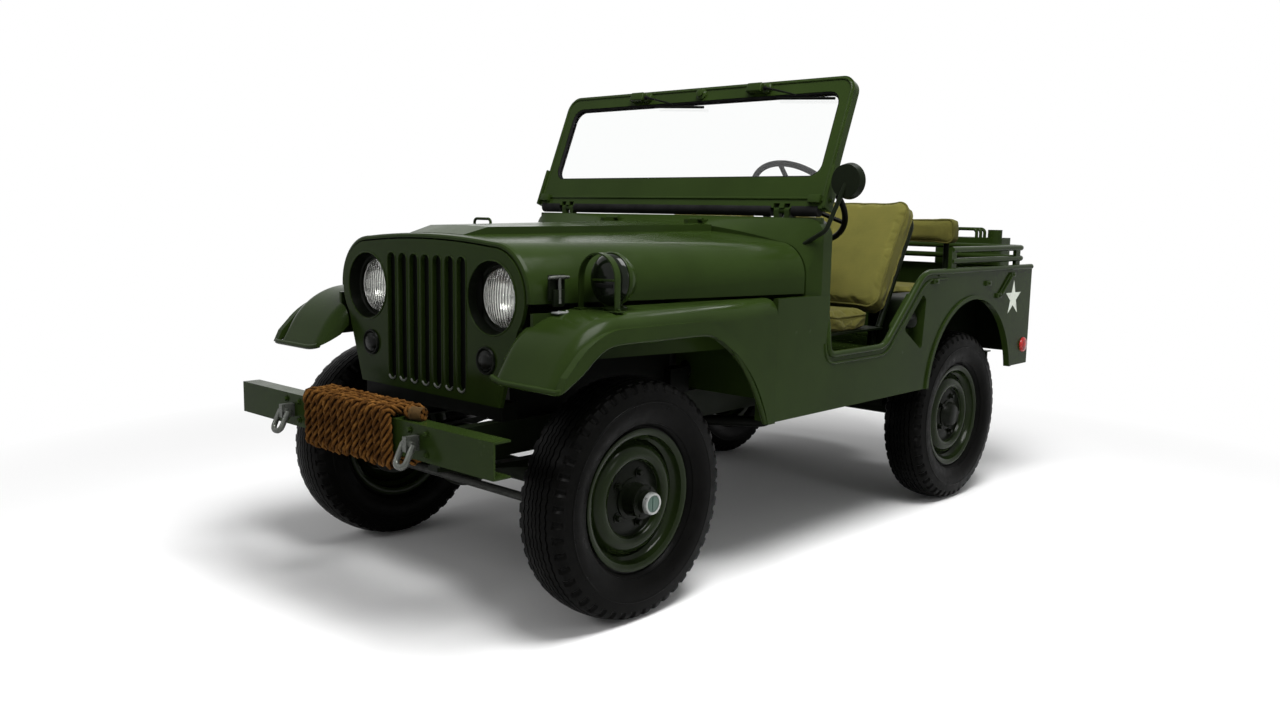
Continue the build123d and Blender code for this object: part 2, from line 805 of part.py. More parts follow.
def knuckle_section(plane):
    """The ball's open cup, its neck, the backing plate and the spindle, in the wheel's own plane."""
    ball_u = KINGPIN_X - WHEEL_X
    hollow = BALL_R + CLEAR
    neck_r = HUB_R - 8

    def on_ball(radius, u):
        """A point of a circle about the ball's middle, u outboard of it."""
        return (ball_u + u, (radius ** 2 - u ** 2) ** 0.5)

    neck_u = (CUP_R ** 2 - neck_r ** 2) ** 0.5
    with BuildSketch(plane) as section:
        with BuildLine():
            ThreePointArc(on_ball(hollow, CUP_LIP), on_ball(hollow, hollow * 0.7), (ball_u + hollow, 0))
            Polyline(
                (ball_u + hollow, 0),
                (SPINDLE_TIP_U, 0),
                (SPINDLE_TIP_U, SPINDLE_R),
                (BACKING_U + BACKING_T, SPINDLE_R),
                (BACKING_U + BACKING_T, BACKING_R),
                (BACKING_U, BACKING_R),
                (BACKING_U, neck_r),
                on_ball(CUP_R, neck_u),
            )
            ThreePointArc(on_ball(CUP_R, neck_u), on_ball(CUP_R, neck_u / 2), on_ball(CUP_R, CUP_LIP))
            Line(on_ball(CUP_R, CUP_LIP), on_ball(hollow, CUP_LIP))
        make_face()
    return section.sketch


for name, side in SIDES:
    with BuildPart() as knuckle:
        revolve(
            knuckle_section(hub_plane(side, FRONT_Y)),
            axis=Axis((side * WHEEL_X, FRONT_Y, AXLE_Z), (side, 0, 0)),
        )
        for end in (1, -1):
            with Locations((side * KINGPIN_X, FRONT_Y, AXLE_Z + end * (CUP_R + KINGPIN_CAP_H / 2 - 6))):
                Cylinder(KINGPIN_CAP_R, KINGPIN_CAP_H)
        with BuildSketch(Plane.XY.offset(AXLE_Z - STEER_ARM_H / 2)):
            root_y = FRONT_Y - ARM_ROOT - ARM_ROOT_L / 2
            with Locations((side * (KINGPIN_X + (ARM_ROOT_W - STEER_ARM_W) / 2), root_y)):
                Rectangle(ARM_ROOT_W, ARM_ROOT_L)
            with Locations((side * KINGPIN_X, FRONT_Y - (STEER_ARM + ARM_ROOT) / 2)):
                Rectangle(STEER_ARM_W, STEER_ARM - ARM_ROOT)
            with Locations((side * KINGPIN_X, FRONT_Y - STEER_ARM)):
                Circle(TIE_ROD_EYE_R)
        extrude(amount=STEER_ARM_H)
        with Locations((side * KINGPIN_X, FRONT_Y - STEER_ARM, AXLE_Z - STEER_ARM_H / 2 - PIN_DROP)):
            Cylinder(TIE_ROD_PIN_R, PIN_L)
    pieces[f"knuckle_{name}"] = knuckle.part

with BuildPart() as tie_rod:
    with BuildSketch(side_plane(-KINGPIN_X)):
        with Locations((FRONT_Y - STEER_ARM, TIE_ROD_Z)):
            Circle(TIE_ROD_R)
    extrude(amount=2 * KINGPIN_X)
    for _, side in SIDES:
        with Locations((side * KINGPIN_X, FRONT_Y - STEER_ARM, TIE_ROD_Z)):
            Cylinder(TIE_ROD_EYE_R, 2 * TIE_ROD_R + 4)
            Cylinder(TIE_ROD_PIN_R + CLEAR, 4 * TIE_ROD_R, mode=Mode.SUBTRACT)
pieces["tie_rod"] = tie_rod.part

# Leaf springs with their axle pads, eyes and hangers
with BuildPart() as leaf_springs:
    for axle_y in (FRONT_Y, REAR_Y):
        for _, side in SIDES:
            for leaf in range(LEAF_COUNT):
                half = SPRING_HALF * (1 - 0.17 * leaf)
                rise = SPRING_SWEEP + LEAF_T * (LEAF_COUNT - leaf)
                with BuildSketch(side_plane(side * SPRING_X - SPRING_W / 2)):
                    with BuildLine():
                        ends = [(axle_y - half, SPRING_Z + rise), (axle_y + half, SPRING_Z + rise)]
                        low = SPRING_Z + LEAF_T * (LEAF_COUNT - 1 - leaf)
                        ThreePointArc(ends[0], (axle_y, low), ends[1])
                        Line(ends[1], (ends[1][0], ends[1][1] + LEAF_T))
                        ThreePointArc(
                            (ends[1][0], ends[1][1] + LEAF_T),
                            (axle_y, low + LEAF_T),
                            (ends[0][0], ends[0][1] + LEAF_T),
                        )
                        Line((ends[0][0], ends[0][1] + LEAF_T), ends[0])
                    make_face()
                extrude(amount=SPRING_W)
            for end in (-1, 1):
                eye_z = SPRING_Z + SPRING_SWEEP + LEAF_T * LEAF_COUNT
                shackle_y = axle_y + end * (SPRING_HALF - SHACKLE_IN)
                with Locations((side * SPRING_X, shackle_y, (eye_z + RAIL_BOTTOM) / 2)):
                    Box(SPRING_W, SHACKLE_L, RAIL_BOTTOM - eye_z)
pieces["leaf_springs"] = leaf_springs.part

# Ladder frame
with BuildPart() as frame:
    for _, side in SIDES:
        with BuildSketch(cross_plane(FRAME_FRONT_Y)):
            with Locations((side * (RAIL_OUT_X - RAIL_W / 2), (RAIL_BOTTOM + RAIL_TOP) / 2)):
                Rectangle(RAIL_W, RAIL_TOP - RAIL_BOTTOM)
            with Locations((side * (RAIL_OUT_X - RAIL_W / 2 - RAIL_T), (RAIL_BOTTOM + RAIL_TOP) / 2)):
                Rectangle(RAIL_W, RAIL_TOP - RAIL_BOTTOM - 2 * RAIL_T, mode=Mode.SUBTRACT)
        extrude(amount=FRAME_FRONT_Y - FRAME_REAR_Y)
    for behind, bottom, top, depth in CROSS_MEMBERS:
        with BuildSketch(side_plane(RAIL_T - RAIL_OUT_X)):
            with Locations((FRONT_Y + behind, (bottom + top) / 2)):
                Rectangle(depth, top - bottom)
            with Locations((FRONT_Y + behind, (bottom + top) / 2 - RAIL_T)):
                Rectangle(depth - 2 * RAIL_T, top - bottom, mode=Mode.SUBTRACT)
        extrude(amount=2 * (RAIL_OUT_X - RAIL_T))
    for behind in BODY_PADS:
        for _, side in SIDES:
            with Locations((side * SHACKLE_X, FRONT_Y + behind, (RAIL_TOP + FLOOR_BOTTOM) / 2)):
                Box(RAIL_W, PAD_L, FLOOR_BOTTOM - RAIL_TOP)
pieces["frame"] = frame.part

# Front bumper, shackles and the rope wound on it
with BuildPart() as front_bumper:
    with BuildSketch(side_plane(-BUMPER_HALF)):
        with Locations((FRAME_FRONT_Y - BUMPER_DEPTH / 2, (BUMPER_BOTTOM + BUMPER_TOP) / 2)):
            Rectangle(BUMPER_DEPTH, BUMPER_TOP - BUMPER_BOTTOM)
        with Locations((FRAME_FRONT_Y - BUMPER_DEPTH / 2 + BUMPER_T, (BUMPER_BOTTOM + BUMPER_TOP) / 2)):
            Rectangle(BUMPER_DEPTH, BUMPER_TOP - BUMPER_BOTTOM - 2 * BUMPER_T, mode=Mode.SUBTRACT)
    extrude(amount=2 * BUMPER_HALF)
pieces["front_bumper"] = front_bumper.part

with BuildPart() as tow_shackles:
    for _, side in SIDES:
        eye_y = BUMPER_FRONT_Y - SHACKLE_LUG + LUG_EYE
        with Locations((side * SHACKLE_X, BUMPER_FRONT_Y - SHACKLE_LUG / 2, SHACKLE_Z)):
            Box(EYE_LUG_W, SHACKLE_LUG, EYE_LUG_H)
        with Locations((side * SHACKLE_X, eye_y, SHACKLE_Z)):
            Cylinder(SHACKLE_BAR_R, 2 * SHACKLE_HALF, rotation=(0, 90, 0))
        with BuildLine() as bow:
            FilletPolyline(
                (side * SHACKLE_X - SHACKLE_HALF, eye_y, SHACKLE_Z),
                (side * SHACKLE_X - SHACKLE_HALF, eye_y - SHACKLE_DROP / 2, SHACKLE_Z - SHACKLE_DROP),
                (side * SHACKLE_X + SHACKLE_HALF, eye_y - SHACKLE_DROP / 2, SHACKLE_Z - SHACKLE_DROP),
                (side * SHACKLE_X + SHACKLE_HALF, eye_y, SHACKLE_Z),
                radius=SHACKLE_HALF - 4,
            )
        with BuildSketch(Plane(origin=bow.line @ 0, z_dir=bow.line % 0)):
            Circle(SHACKLE_BAR_R)
        sweep(path=bow.line)
pieces["tow_shackles"] = tow_shackles.part

with BuildPart() as rope_winding:
    with BuildSketch(side_plane(ROPE_START_X)):
        with Locations((FRAME_FRONT_Y - BUMPER_DEPTH / 2, (ROPE_BOTTOM + ROPE_TOP) / 2)):
            RectangleRounded(BUMPER_DEPTH + 2 * CLEAR + 2 * ROPE_D, ROPE_TOP - ROPE_BOTTOM + 2 * ROPE_D, ROPE_D)
            Rectangle(BUMPER_DEPTH + 2 * CLEAR, ROPE_TOP - ROPE_BOTTOM, mode=Mode.SUBTRACT)
    extrude(amount=ROPE_END_X - ROPE_START_X)
pieces["rope_winding"] = rope_winding.part

# Grille, lamps and radiator


def grille_outline(plane, grow):
    """The grille's face: straight foot, slanted sides and a round corner about each lamp."""
    radius = LAMP_CORNER_R + grow
    turn_x = LAMP_X + radius * cos(radians(GRILLE_TURN))
    turn_z = LAMP_Z + radius * sin(radians(GRILLE_TURN))
    with BuildSketch(plane) as face:
        with BuildLine():
            Line((0, GRILLE_BOTTOM - grow), (GRILLE_FOOT_HALF + grow, GRILLE_BOTTOM - grow))
            Line((GRILLE_FOOT_HALF + grow, GRILLE_BOTTOM - grow), (turn_x, turn_z))
            CenterArc((LAMP_X, LAMP_Z), radius, GRILLE_TURN, 90 - GRILLE_TURN)
            ThreePointArc(
                (LAMP_X, LAMP_Z + radius),
                (LAMP_X / 2, LAMP_Z + radius + GRILLE_CROWN * 3 / 4),
                (0, LAMP_Z + radius + GRILLE_CROWN),
            )
            Line((0, LAMP_Z + radius + GRILLE_CROWN), (0, GRILLE_BOTTOM - grow))
        make_face()
        mirror(about=Plane.YZ)
    return face.sketch


grille_face = grille_outline(cross_plane(GRILLE_FRONT_Y), 0)
with BuildPart() as grille:
    extrude(grille_face, amount=-GRILLE_T)
    with BuildSketch(cross_plane(GRILLE_FRONT_Y)):
        with Locations((0, (SLOT_BOTTOM + SLOT_TOP) / 2)):
            with GridLocations(SLOT_PITCH, 0, SLOT_COUNT, 1):
                SlotOverall(SLOT_TOP - SLOT_BOTTOM, SLOT_W, rotation=90)
        for _, side in SIDES:
            with Locations((side * LAMP_X, LAMP_Z)):
                Circle(LAMP_BUCKET_R)
    extrude(amount=-GRILLE_T, mode=Mode.SUBTRACT)
pieces["grille"] = grille.part

with BuildPart() as headlamps:
    for _, side in SIDES:
        lamp = Plane(origin=(side * LAMP_X, GRILLE_FRONT_Y, LAMP_Z), x_dir=(1, 0, 0), z_dir=(0, 0, 1))
        out_r = LAMP_BUCKET_R - CLEAR
        with BuildSketch(lamp):
            with BuildLine():
                Polyline(
                    (LENS_R, LENS_RECESS),
                    (out_r - LAMP_RIM_T, 0),
                    (out_r, 0),
                    (out_r, GRILLE_T),
                    (LENS_R, LAMP_BUCKET_DEPTH),
                    (0, LAMP_BUCKET_DEPTH),
                    (0, LENS_RECESS - LENS_BULGE),
                )
                RadiusArc((0, LENS_RECESS - LENS_BULGE), (LENS_R, LENS_RECESS), LENS_R * 2.2)
            make_face()
        revolve(axis=Axis((side * LAMP_X, GRILLE_FRONT_Y, LAMP_Z), (0, 1, 0)))
pieces["headlamps"] = headlamps.part

with BuildPart() as marker_lamps:
    for _, side in SIDES:
        with BuildSketch(cross_plane(GRILLE_FRONT_Y)):
            with Locations((side * MARKER_X, MARKER_Z)):
                Circle(MARKER_R)
        extrude(amount=MARKER_OUT, taper=MARKER_TAPER)
pieces["marker_lamps"] = marker_lamps.part

with BuildPart() as radiator:
    core_y = GRILLE_FRONT_Y + GRILLE_T + RADIATOR_DEPTH / 2
    with Locations((0, core_y, (RADIATOR_BOTTOM + RADIATOR_TOP) / 2)):
        Box(2 * RADIATOR_HALF, RADIATOR_DEPTH, RADIATOR_TOP - RADIATOR_BOTTOM)
    with Locations((0, core_y, (RAIL_TOP + RADIATOR_BOTTOM) / 2)):
        Box(2 * RAIL_OUT_X, RADIATOR_DEPTH, RADIATOR_BOTTOM - RAIL_TOP)
pieces["radiator"] = radiator.part


# Hood
def hood_section(y, half, top, radius, crown, inset, base):
    """A section across the hood or the cowl: straight sides, round shoulders and a crowned top."""
    half = half - inset
    top = top - inset
    radius = radius - inset
    mid = radius * cos(radians(45))
    with BuildSketch(cross_plane(y)) as section:
        with BuildLine():
            Line((half, base), (half, top - radius))
            ThreePointArc((half, top - radius), (half - radius + mid, top - radius + mid), (half - radius, top))
            ThreePointArc((half - radius, top), (0, top + crown), (radius - half, top))
            ThreePointArc((radius - half, top), (radius - half - mid, top - radius + mid), (-half, top - radius))
            Line((-half, top - radius), (-half, base))
            Line((-half, base), (half, base))
        make_face()
    return section.sketch


def crown_at(x, half, radius, crown):
    """The crown's height over the shoulders at x, as a shallow parabola."""
    return crown * (1 - (x / (half - radius)) ** 2)


def bulge_section(y, half, top_edge, top_mid, base):
    """A section across the hood's raised centre panel."""
    with BuildSketch(cross_plane(y)) as section:
        with BuildLine():
            Line((-half, base), (half, base))
            Line((half, base), (half, top_edge))
            ThreePointArc((half, top_edge), (0, top_mid), (-half, top_edge))
            Line((-half, top_edge), (-half, base))
        make_face()
    return section.sketch


def hood_between(y):
    """Half width, top, radius and crown of the hood at y."""
    share = (y - HOOD_FRONT_Y) / HOOD_LENGTH
    return [a + share * (b - a) for a, b in zip(FRONT_HOOD, REAR_HOOD)]


def hood_half(y):
    """The hood's half width at y."""
    return hood_between(y)[0]


bulge_sections = []
for y, half, height in (
    (HOOD_FRONT_Y + BULGE_START, BULGE_FRONT_HALF, BULGE_LIP),
    (HOOD_FRONT_Y + BULGE_START + BULGE_RAMP, BULGE_FRONT_HALF + BULGE_SPREAD, BULGE_H),
    (HOOD_REAR_Y, BULGE_REAR_HALF, BULGE_H),
):
    width, top, radius, crown = hood_between(y)
    edge = top + crown_at(half, width, radius, crown)
    bulge_sections.append(bulge_section(y, half, edge + height, top + crown + height, edge - HOOD_T / 2))
hood_outside = [hood_section(y, *hood_between(y), inset, HOOD_EDGE_Z) for y, inset in HOOD_STATIONS]
hood_inside = [hood_section(y, *hood_between(y), HOOD_T, HOOD_EDGE_Z) for y in (HOOD_FRONT_Y, HOOD_REAR_Y)]
with BuildPart() as hood:
    loft(hood_outside, ruled=True)
    loft(hood_inside, ruled=True, mode=Mode.SUBTRACT)
    loft(bulge_sections, ruled=True)
    for _, side in SIDES:
        with Locations((side * HOOD_HINGE_X, HOOD_HINGE_Y, HOOD_HINGE_Z)):
            Cylinder(HOOD_HINGE_R, HOOD_HINGE_W / 3, rotation=(0, 90, 0))
        with Locations((side * HOOD_HINGE_X, HOOD_HINGE_Y - HINGE_LEAF / 2, HOOD_HINGE_Z - HOOD_HINGE_R)):
            Box(HOOD_HINGE_W / 3, HINGE_LEAF, 2 * HOOD_HINGE_R)
        with Locations((side * HOOD_HINGE_X, HOOD_HINGE_Y, HOOD_HINGE_Z)):
            Cylinder(HOOD_PIN_R + CLEAR, HOOD_HINGE_W, rotation=(0, 90, 0), mode=Mode.SUBTRACT)
    loop_half, loop_top, loop_radius, loop_crown = hood_between(HOOD_LOOP_Y)
    loop_z = loop_top + crown_at(HOOD_LOOP_X, loop_half, loop_radius, loop_crown)
    with BuildLine() as loop_line:
        FilletPolyline(
            (HOOD_LOOP_X - HOOD_LOOP_HALF, HOOD_LOOP_Y, loop_z - HOOD_T / 2),
            (HOOD_LOOP_X - HOOD_LOOP_HALF, HOOD_LOOP_Y, loop_z + HOOD_LOOP_H),
            (HOOD_LOOP_X + HOOD_LOOP_HALF, HOOD_LOOP_Y, loop_z + HOOD_LOOP_H),
            (HOOD_LOOP_X + HOOD_LOOP_HALF, HOOD_LOOP_Y, loop_z - HOOD_T / 2),
            radius=HOOD_LOOP_BEND_R,
        )
    with BuildSketch(Plane(origin=loop_line.line @ 0, z_dir=loop_line.line % 0)):
        Circle(HOOD_LOOP_R)
    sweep(path=loop_line.line)
pieces["hood"] = hood.part

# Fenders, drawn in distances behind the front axle


def station(behind, height):
    """A point in a side plane, from its distance behind the front axle."""
    return (FRONT_Y + behind, height)


def arch_line(grow):
    """The front wheel opening's edge, from the fender's tip back to the sill, grown outward."""
    slant = grow * sin(radians(45))
    lead = (FENDER_ARCH_LEAD[0] - slant, FENDER_ARCH_LEAD[1] + slant)
    lead_mid = (FENDER_ARCH_LEAD_MID[0] - slant, FENDER_ARCH_LEAD_MID[1] + slant)
    swell = (FENDER_ARCH_SWELL[0] + slant, FENDER_ARCH_SWELL[1] + slant)
    with BuildLine(mode=Mode.PRIVATE) as edge:
        Line(station(FENDER_TIP + grow / 2, FENDER_TIP_Z + grow), station(*lead))
        ThreePointArc(station(*lead), station(*lead_mid), station(FENDER_ARCH_FRONT, FENDER_ARCH_Z + grow))
        Line(
            station(FENDER_ARCH_FRONT, FENDER_ARCH_Z + grow),
            station(FENDER_ARCH_REAR, FENDER_ARCH_Z + grow),
        )
        ThreePointArc(
            station(FENDER_ARCH_REAR, FENDER_ARCH_Z + grow),
            station(*swell),
            station(FENDER_ARCH_FOOT + grow, SILL_Z),
        )
    return edge.line


def fender_block(inset, edge_r):
    """The fender's full outside, or its hollow when drawn in: flat top, rolled nose, round shoulders."""
    nose_slope = (FENDER_CREST - FENDER_TIP) / (FENDER_TOP_FRONT - FENDER_TIP_Z)
    low = SILL_Z - FENDER_DROP if inset else SILL_Z
    tip = FENDER_TIP + inset - nose_slope * (FENDER_TIP_Z - low)
    with BuildPart() as block:
        with BuildSketch(side_plane(FENDER_NOSE_IN_X + inset)):
            with BuildLine():
                FilletPolyline(
                    station(FENDER_REAR - inset, FENDER_TOP_REAR - inset),
                    station(FENDER_CREST + inset / 2, FENDER_TOP_FRONT - inset),
                    station(tip, low),
                    radius=FENDER_NOSE_R - inset,
                )
                Line(station(tip, low), station(FENDER_REAR - inset, low))
                Line(station(FENDER_REAR - inset, low), station(FENDER_REAR - inset, FENDER_TOP_REAR - inset))
            make_face()
        extrude(amount=FENDER_OUT_X - FENDER_NOSE_IN_X - 2 * inset)
        cheeks = block.faces().sort_by(Axis.X)
        rims = cheeks[0].edges() + cheeks[-1].edges()
        rear = FRONT_Y + FENDER_REAR - inset
        shoulders = [e for e in rims if (e @ 0.5).Z > low + 1 and (e @ 0.5).Y < rear - 1]
        fillet(ShapeList(shoulders), edge_r)
    return block.part


fender_edge = arch_line(0)
fender_lip_edge = arch_line(FENDER_LIP)
fender_outside = fender_block(0, FENDER_EDGE_R)
fender_hollow = fender_block(FENDER_T, FENDER_EDGE_R - FENDER_T)
with BuildPart() as fender_left:
    add(fender_outside)
    with BuildSketch(side_plane(FENDER_NOSE_IN_X - FENDER_DROP)):
        with BuildLine():
            add(fender_edge)
            Polyline(
                fender_edge @ 0,
                station(FENDER_TIP - FENDER_NOSE_R, FENDER_TIP_Z),
                station(FENDER_TIP - FENDER_NOSE_R, SILL_Z - FENDER_DROP),
                station(FENDER_ARCH_FOOT, SILL_Z - FENDER_DROP),
                fender_edge @ 1,
            )
        make_face()
    extrude(amount=FENDER_OUT_X - FENDER_NOSE_IN_X + 2 * FENDER_DROP, mode=Mode.SUBTRACT)
    add(fender_hollow, mode=Mode.SUBTRACT)
    with BuildSketch(Plane.XY.offset(SILL_Z - FENDER_DROP)):
        with BuildLine():
            fender_end = FRONT_Y + FENDER_REAR + FENDER_DROP
            Polyline(
                (FENDER_NOSE_IN_X - FENDER_DROP, HOOD_FRONT_Y - HOOD_SIDE_GAP),
                (hood_half(HOOD_FRONT_Y) + HOOD_SIDE_GAP, HOOD_FRONT_Y - HOOD_SIDE_GAP),
                (hood_half(fender_end) + HOOD_SIDE_GAP, fender_end),
                (FENDER_NOSE_IN_X - FENDER_DROP, fender_end),
                close=True,
            )
        make_face()
    extrude(amount=FENDER_TOP_REAR - SILL_Z + 2 * FENDER_DROP, mode=Mode.SUBTRACT)
    grille_cut = grille_outline(cross_plane(GRILLE_FRONT_Y - CLEAR), CLEAR)
    extrude(grille_cut, amount=-GRILLE_T - FENDER_DROP, mode=Mode.SUBTRACT)
    with BuildSketch(Plane.XY.offset(APRON_BOTTOM)):
        with BuildLine():
            apron_end = FRONT_Y + FENDER_REAR - 1
            Polyline(
                (hood_half(HOOD_FRONT_Y) + HOOD_SIDE_GAP, HOOD_FRONT_Y),
                (hood_half(HOOD_FRONT_Y) + HOOD_SIDE_GAP + PANEL_T, HOOD_FRONT_Y),
                (hood_half(apron_end) + HOOD_SIDE_GAP + PANEL_T, apron_end),
                (hood_half(apron_end) + HOOD_SIDE_GAP, apron_end),
                close=True,
            )
        make_face()
    extrude(amount=FENDER_TOP_FRONT - FENDER_T / 2 - APRON_BOTTOM)
    with BuildSketch(side_plane(FENDER_INSIDE_X + 2)):
        with BuildLine():
            add(fender_edge)
            add(fender_lip_edge)
            Line(fender_edge @ 0, fender_lip_edge @ 0)
            Line(fender_edge @ 1, fender_lip_edge @ 1)
        make_face()
    extrude(amount=FENDER_T - 2 + FENDER_LIP_OUT)
pieces["fender_left"] = fender_left.part
with BuildPart() as fender_right:
    mirror(fender_left.part, about=Plane.YZ)
pieces["fender_right"] = fender_right.part

# Blackout lamp on the left fender
fender_slope = (FENDER_TOP_REAR - FENDER_TOP_FRONT) / (FENDER_REAR - FENDER_CREST)
BLACKOUT_FOOT = FENDER_TOP_FRONT + fender_slope * (BLACKOUT_BEHIND - FENDER_CREST) + 2 * CLEAR
lamp_point = (BLACKOUT_X, FRONT_Y + BLACKOUT_BEHIND, BLACKOUT_Z)
with BuildPart() as blackout_lamp:
    with BuildSketch(Plane(origin=lamp_point, x_dir=(1, 0, 0), z_dir=(0, 0, 1))):
        with BuildLine():
            Polyline(
                (BLACKOUT_R * 0.4, BLACKOUT_DEPTH / 2),
                (0, BLACKOUT_DEPTH / 2),
                (0, -BLACKOUT_DEPTH / 2),
                (BLACKOUT_R, -BLACKOUT_DEPTH / 2),
                (BLACKOUT_R, -BLACKOUT_DEPTH / 4),
            )
            ThreePointArc(
                (BLACKOUT_R, -BLACKOUT_DEPTH / 4),
                (BLACKOUT_R * 0.8, BLACKOUT_DEPTH * 0.22),
                (BLACKOUT_R * 0.4, BLACKOUT_DEPTH / 2),
            )
        make_face()
    revolve(axis=Axis(lamp_point, (0, 1, 0)))
    for radius, height in ((BLACKOUT_STEM_R, BLACKOUT_Z - BLACKOUT_FOOT), (BLACKOUT_PAD_R, BLACKOUT_PAD_T)):
        with BuildSketch(Plane.XY.offset(BLACKOUT_FOOT)):
            with Locations((BLACKOUT_X, FRONT_Y + BLACKOUT_BEHIND)):
                Circle(radius)
        extrude(amount=height)
    guard_y = lamp_point[1] - BLACKOUT_DEPTH / 2 - GUARD_AHEAD
    guard_foot = BLACKOUT_FOOT - GUARD_SINK
    with BuildSketch(cross_plane(guard_y)):
        for half, mode in ((GUARD_HALF, Mode.ADD), (GUARD_HALF - GUARD_T, Mode.SUBTRACT)):
            with Locations((BLACKOUT_X, BLACKOUT_Z)):
                Circle(half, mode=mode)
            with Locations((BLACKOUT_X, (guard_foot + BLACKOUT_Z) / 2)):
                Rectangle(2 * half, BLACKOUT_Z - guard_foot, mode=mode)
    extrude(amount=-GUARD_W)
    add(fender_left.part, mode=Mode.SUBTRACT)
pieces["blackout_lamp"] = blackout_lamp.part

# Cowl, firewall and instrument panel


cowl_outside = [
    hood_section(COWL_FRONT_Y, *COWL_FRONT, 0, SHOULDER_Z),
    hood_section(COWL_FLAT_Y, *COWL_REAR, 0, SHOULDER_Z),
    hood_section(DOOR_FRONT_Y, *COWL_REAR, 0, SHOULDER_Z),
]
cowl_inside = [
    hood_section(COWL_FRONT_Y, *COWL_FRONT, COWL_T, SHOULDER_Z),
    hood_section(COWL_FLAT_Y, *COWL_REAR, COWL_T, SHOULDER_Z),
    hood_section(DOOR_FRONT_Y, *COWL_REAR, COWL_T, SHOULDER_Z),
]
with BuildPart() as cowl:
    loft(cowl_outside, ruled=True)
    loft(cowl_inside, ruled=True, mode=Mode.SUBTRACT)
    for _, side in SIDES:
        for end in (-1, 1):
            knuckle_x = side * HOOD_HINGE_X + end * (HOOD_HINGE_W / 3 + 1)
            with Locations((knuckle_x, HOOD_HINGE_Y, HOOD_HINGE_Z)):
                Cylinder(HOOD_HINGE_R, HOOD_HINGE_W / 3, rotation=(0, 90, 0))
            with Locations((knuckle_x, HOOD_HINGE_Y + HINGE_LEAF / 2, HOOD_HINGE_Z - HOOD_HINGE_R)):
                Box(HOOD_HINGE_W / 3, HINGE_LEAF, 2 * HOOD_HINGE_R)
            knuckle_x = side * WS_HINGE_X + end * (2 * WS_HINGE_R + 1)
            with Locations((knuckle_x, WS_HINGE_Y, WS_HINGE_Z)):
                Cylinder(WS_HINGE_R, 2 * WS_HINGE_R, rotation=(0, 90, 0))
            with Locations((knuckle_x, WS_HINGE_Y, (COWL_TOP - 6 + WS_HINGE_Z) / 2)):
                Box(2 * WS_HINGE_R, 2 * WS_HINGE_R, WS_HINGE_Z - COWL_TOP + 6)
        with Locations((side * HOOD_HINGE_X, HOOD_HINGE_Y, HOOD_HINGE_Z)):
            Cylinder(HOOD_PIN_R, HOOD_HINGE_W, rotation=(0, 90, 0))
        with Locations((side * WS_HINGE_X, WS_HINGE_Y, WS_HINGE_Z)):
            Cylinder(WS_HINGE_R / 2, 5 * WS_HINGE_R, rotation=(0, 90, 0))
pieces["cowl"] = cowl.part

firewall_face = hood_section(FIREWALL_Y, *REAR_HOOD, COWL_T + CLEAR, FOOTWELL_TOP)
with BuildPart() as firewall:
    extrude(firewall_face, amount=-PANEL_T)
    for _, side in SIDES:
        well_x = side * (FOOTWELL_IN_X + INSIDE_HALF) / 2
        with Locations((well_x, (FOOTWELL_FRONT_Y + FIREWALL_Y + PANEL_T) / 2, FOOTWELL_TOP - PANEL_T / 2)):
            Box(INSIDE_HALF - FOOTWELL_IN_X, FIREWALL_Y + PANEL_T - FOOTWELL_FRONT_Y, PANEL_T)
        with Locations((well_x, FOOTWELL_FRONT_Y + PANEL_T / 2, (FLOOR_BOTTOM + FOOTWELL_TOP) / 2)):
            Box(INSIDE_HALF - FOOTWELL_IN_X, PANEL_T, FOOTWELL_TOP - FLOOR_BOTTOM)
        well_y = (FOOTWELL_FRONT_Y + FIREWALL_Y + PANEL_T) / 2
        with Locations((side * (FOOTWELL_IN_X + PANEL_T / 2), well_y, (FLOOR_BOTTOM + FOOTWELL_TOP) / 2)):
            Box(PANEL_T, FIREWALL_Y + PANEL_T - FOOTWELL_FRONT_Y, FOOTWELL_TOP - FLOOR_BOTTOM)
        with Locations((well_x, well_y, FLOOR_BOTTOM + PANEL_T / 2)):
            Box(INSIDE_HALF - FOOTWELL_IN_X, FIREWALL_Y + PANEL_T - FOOTWELL_FRONT_Y, PANEL_T)
    with BuildSketch(cross_plane(FIREWALL_Y)):
        with Locations((0, (FLOOR_TOP + FOOTWELL_TOP) / 2)):
            Rectangle(2 * FOOTWELL_IN_X, FOOTWELL_TOP - FLOOR_TOP + 2)
        with Locations((TUNNEL_X, (FLOOR_BOTTOM + TUNNEL_TOP) / 2)):
            Rectangle(2 * TUNNEL_HALF, TUNNEL_TOP - FLOOR_BOTTOM, mode=Mode.SUBTRACT)
    extrude(amount=-PANEL_T)
    with BuildSketch(COLUMN_PLANE):
        Circle(COLUMN_HOLE_R)
    extrude(amount=THROUGH, mode=Mode.SUBTRACT)
pieces["firewall"] = firewall.part

dash_face = hood_section(DASH_Y, *COWL_REAR, COWL_T + CLEAR, DASH_BASE)
with BuildPart() as instrument_panel:
    extrude(dash_face, amount=-PANEL_T)
    with BuildSketch(COLUMN_PLANE):
        Circle(COLUMN_HOLE_R)
    extrude(amount=THROUGH, mode=Mode.SUBTRACT)
pieces["instrument_panel"] = instrument_panel.part

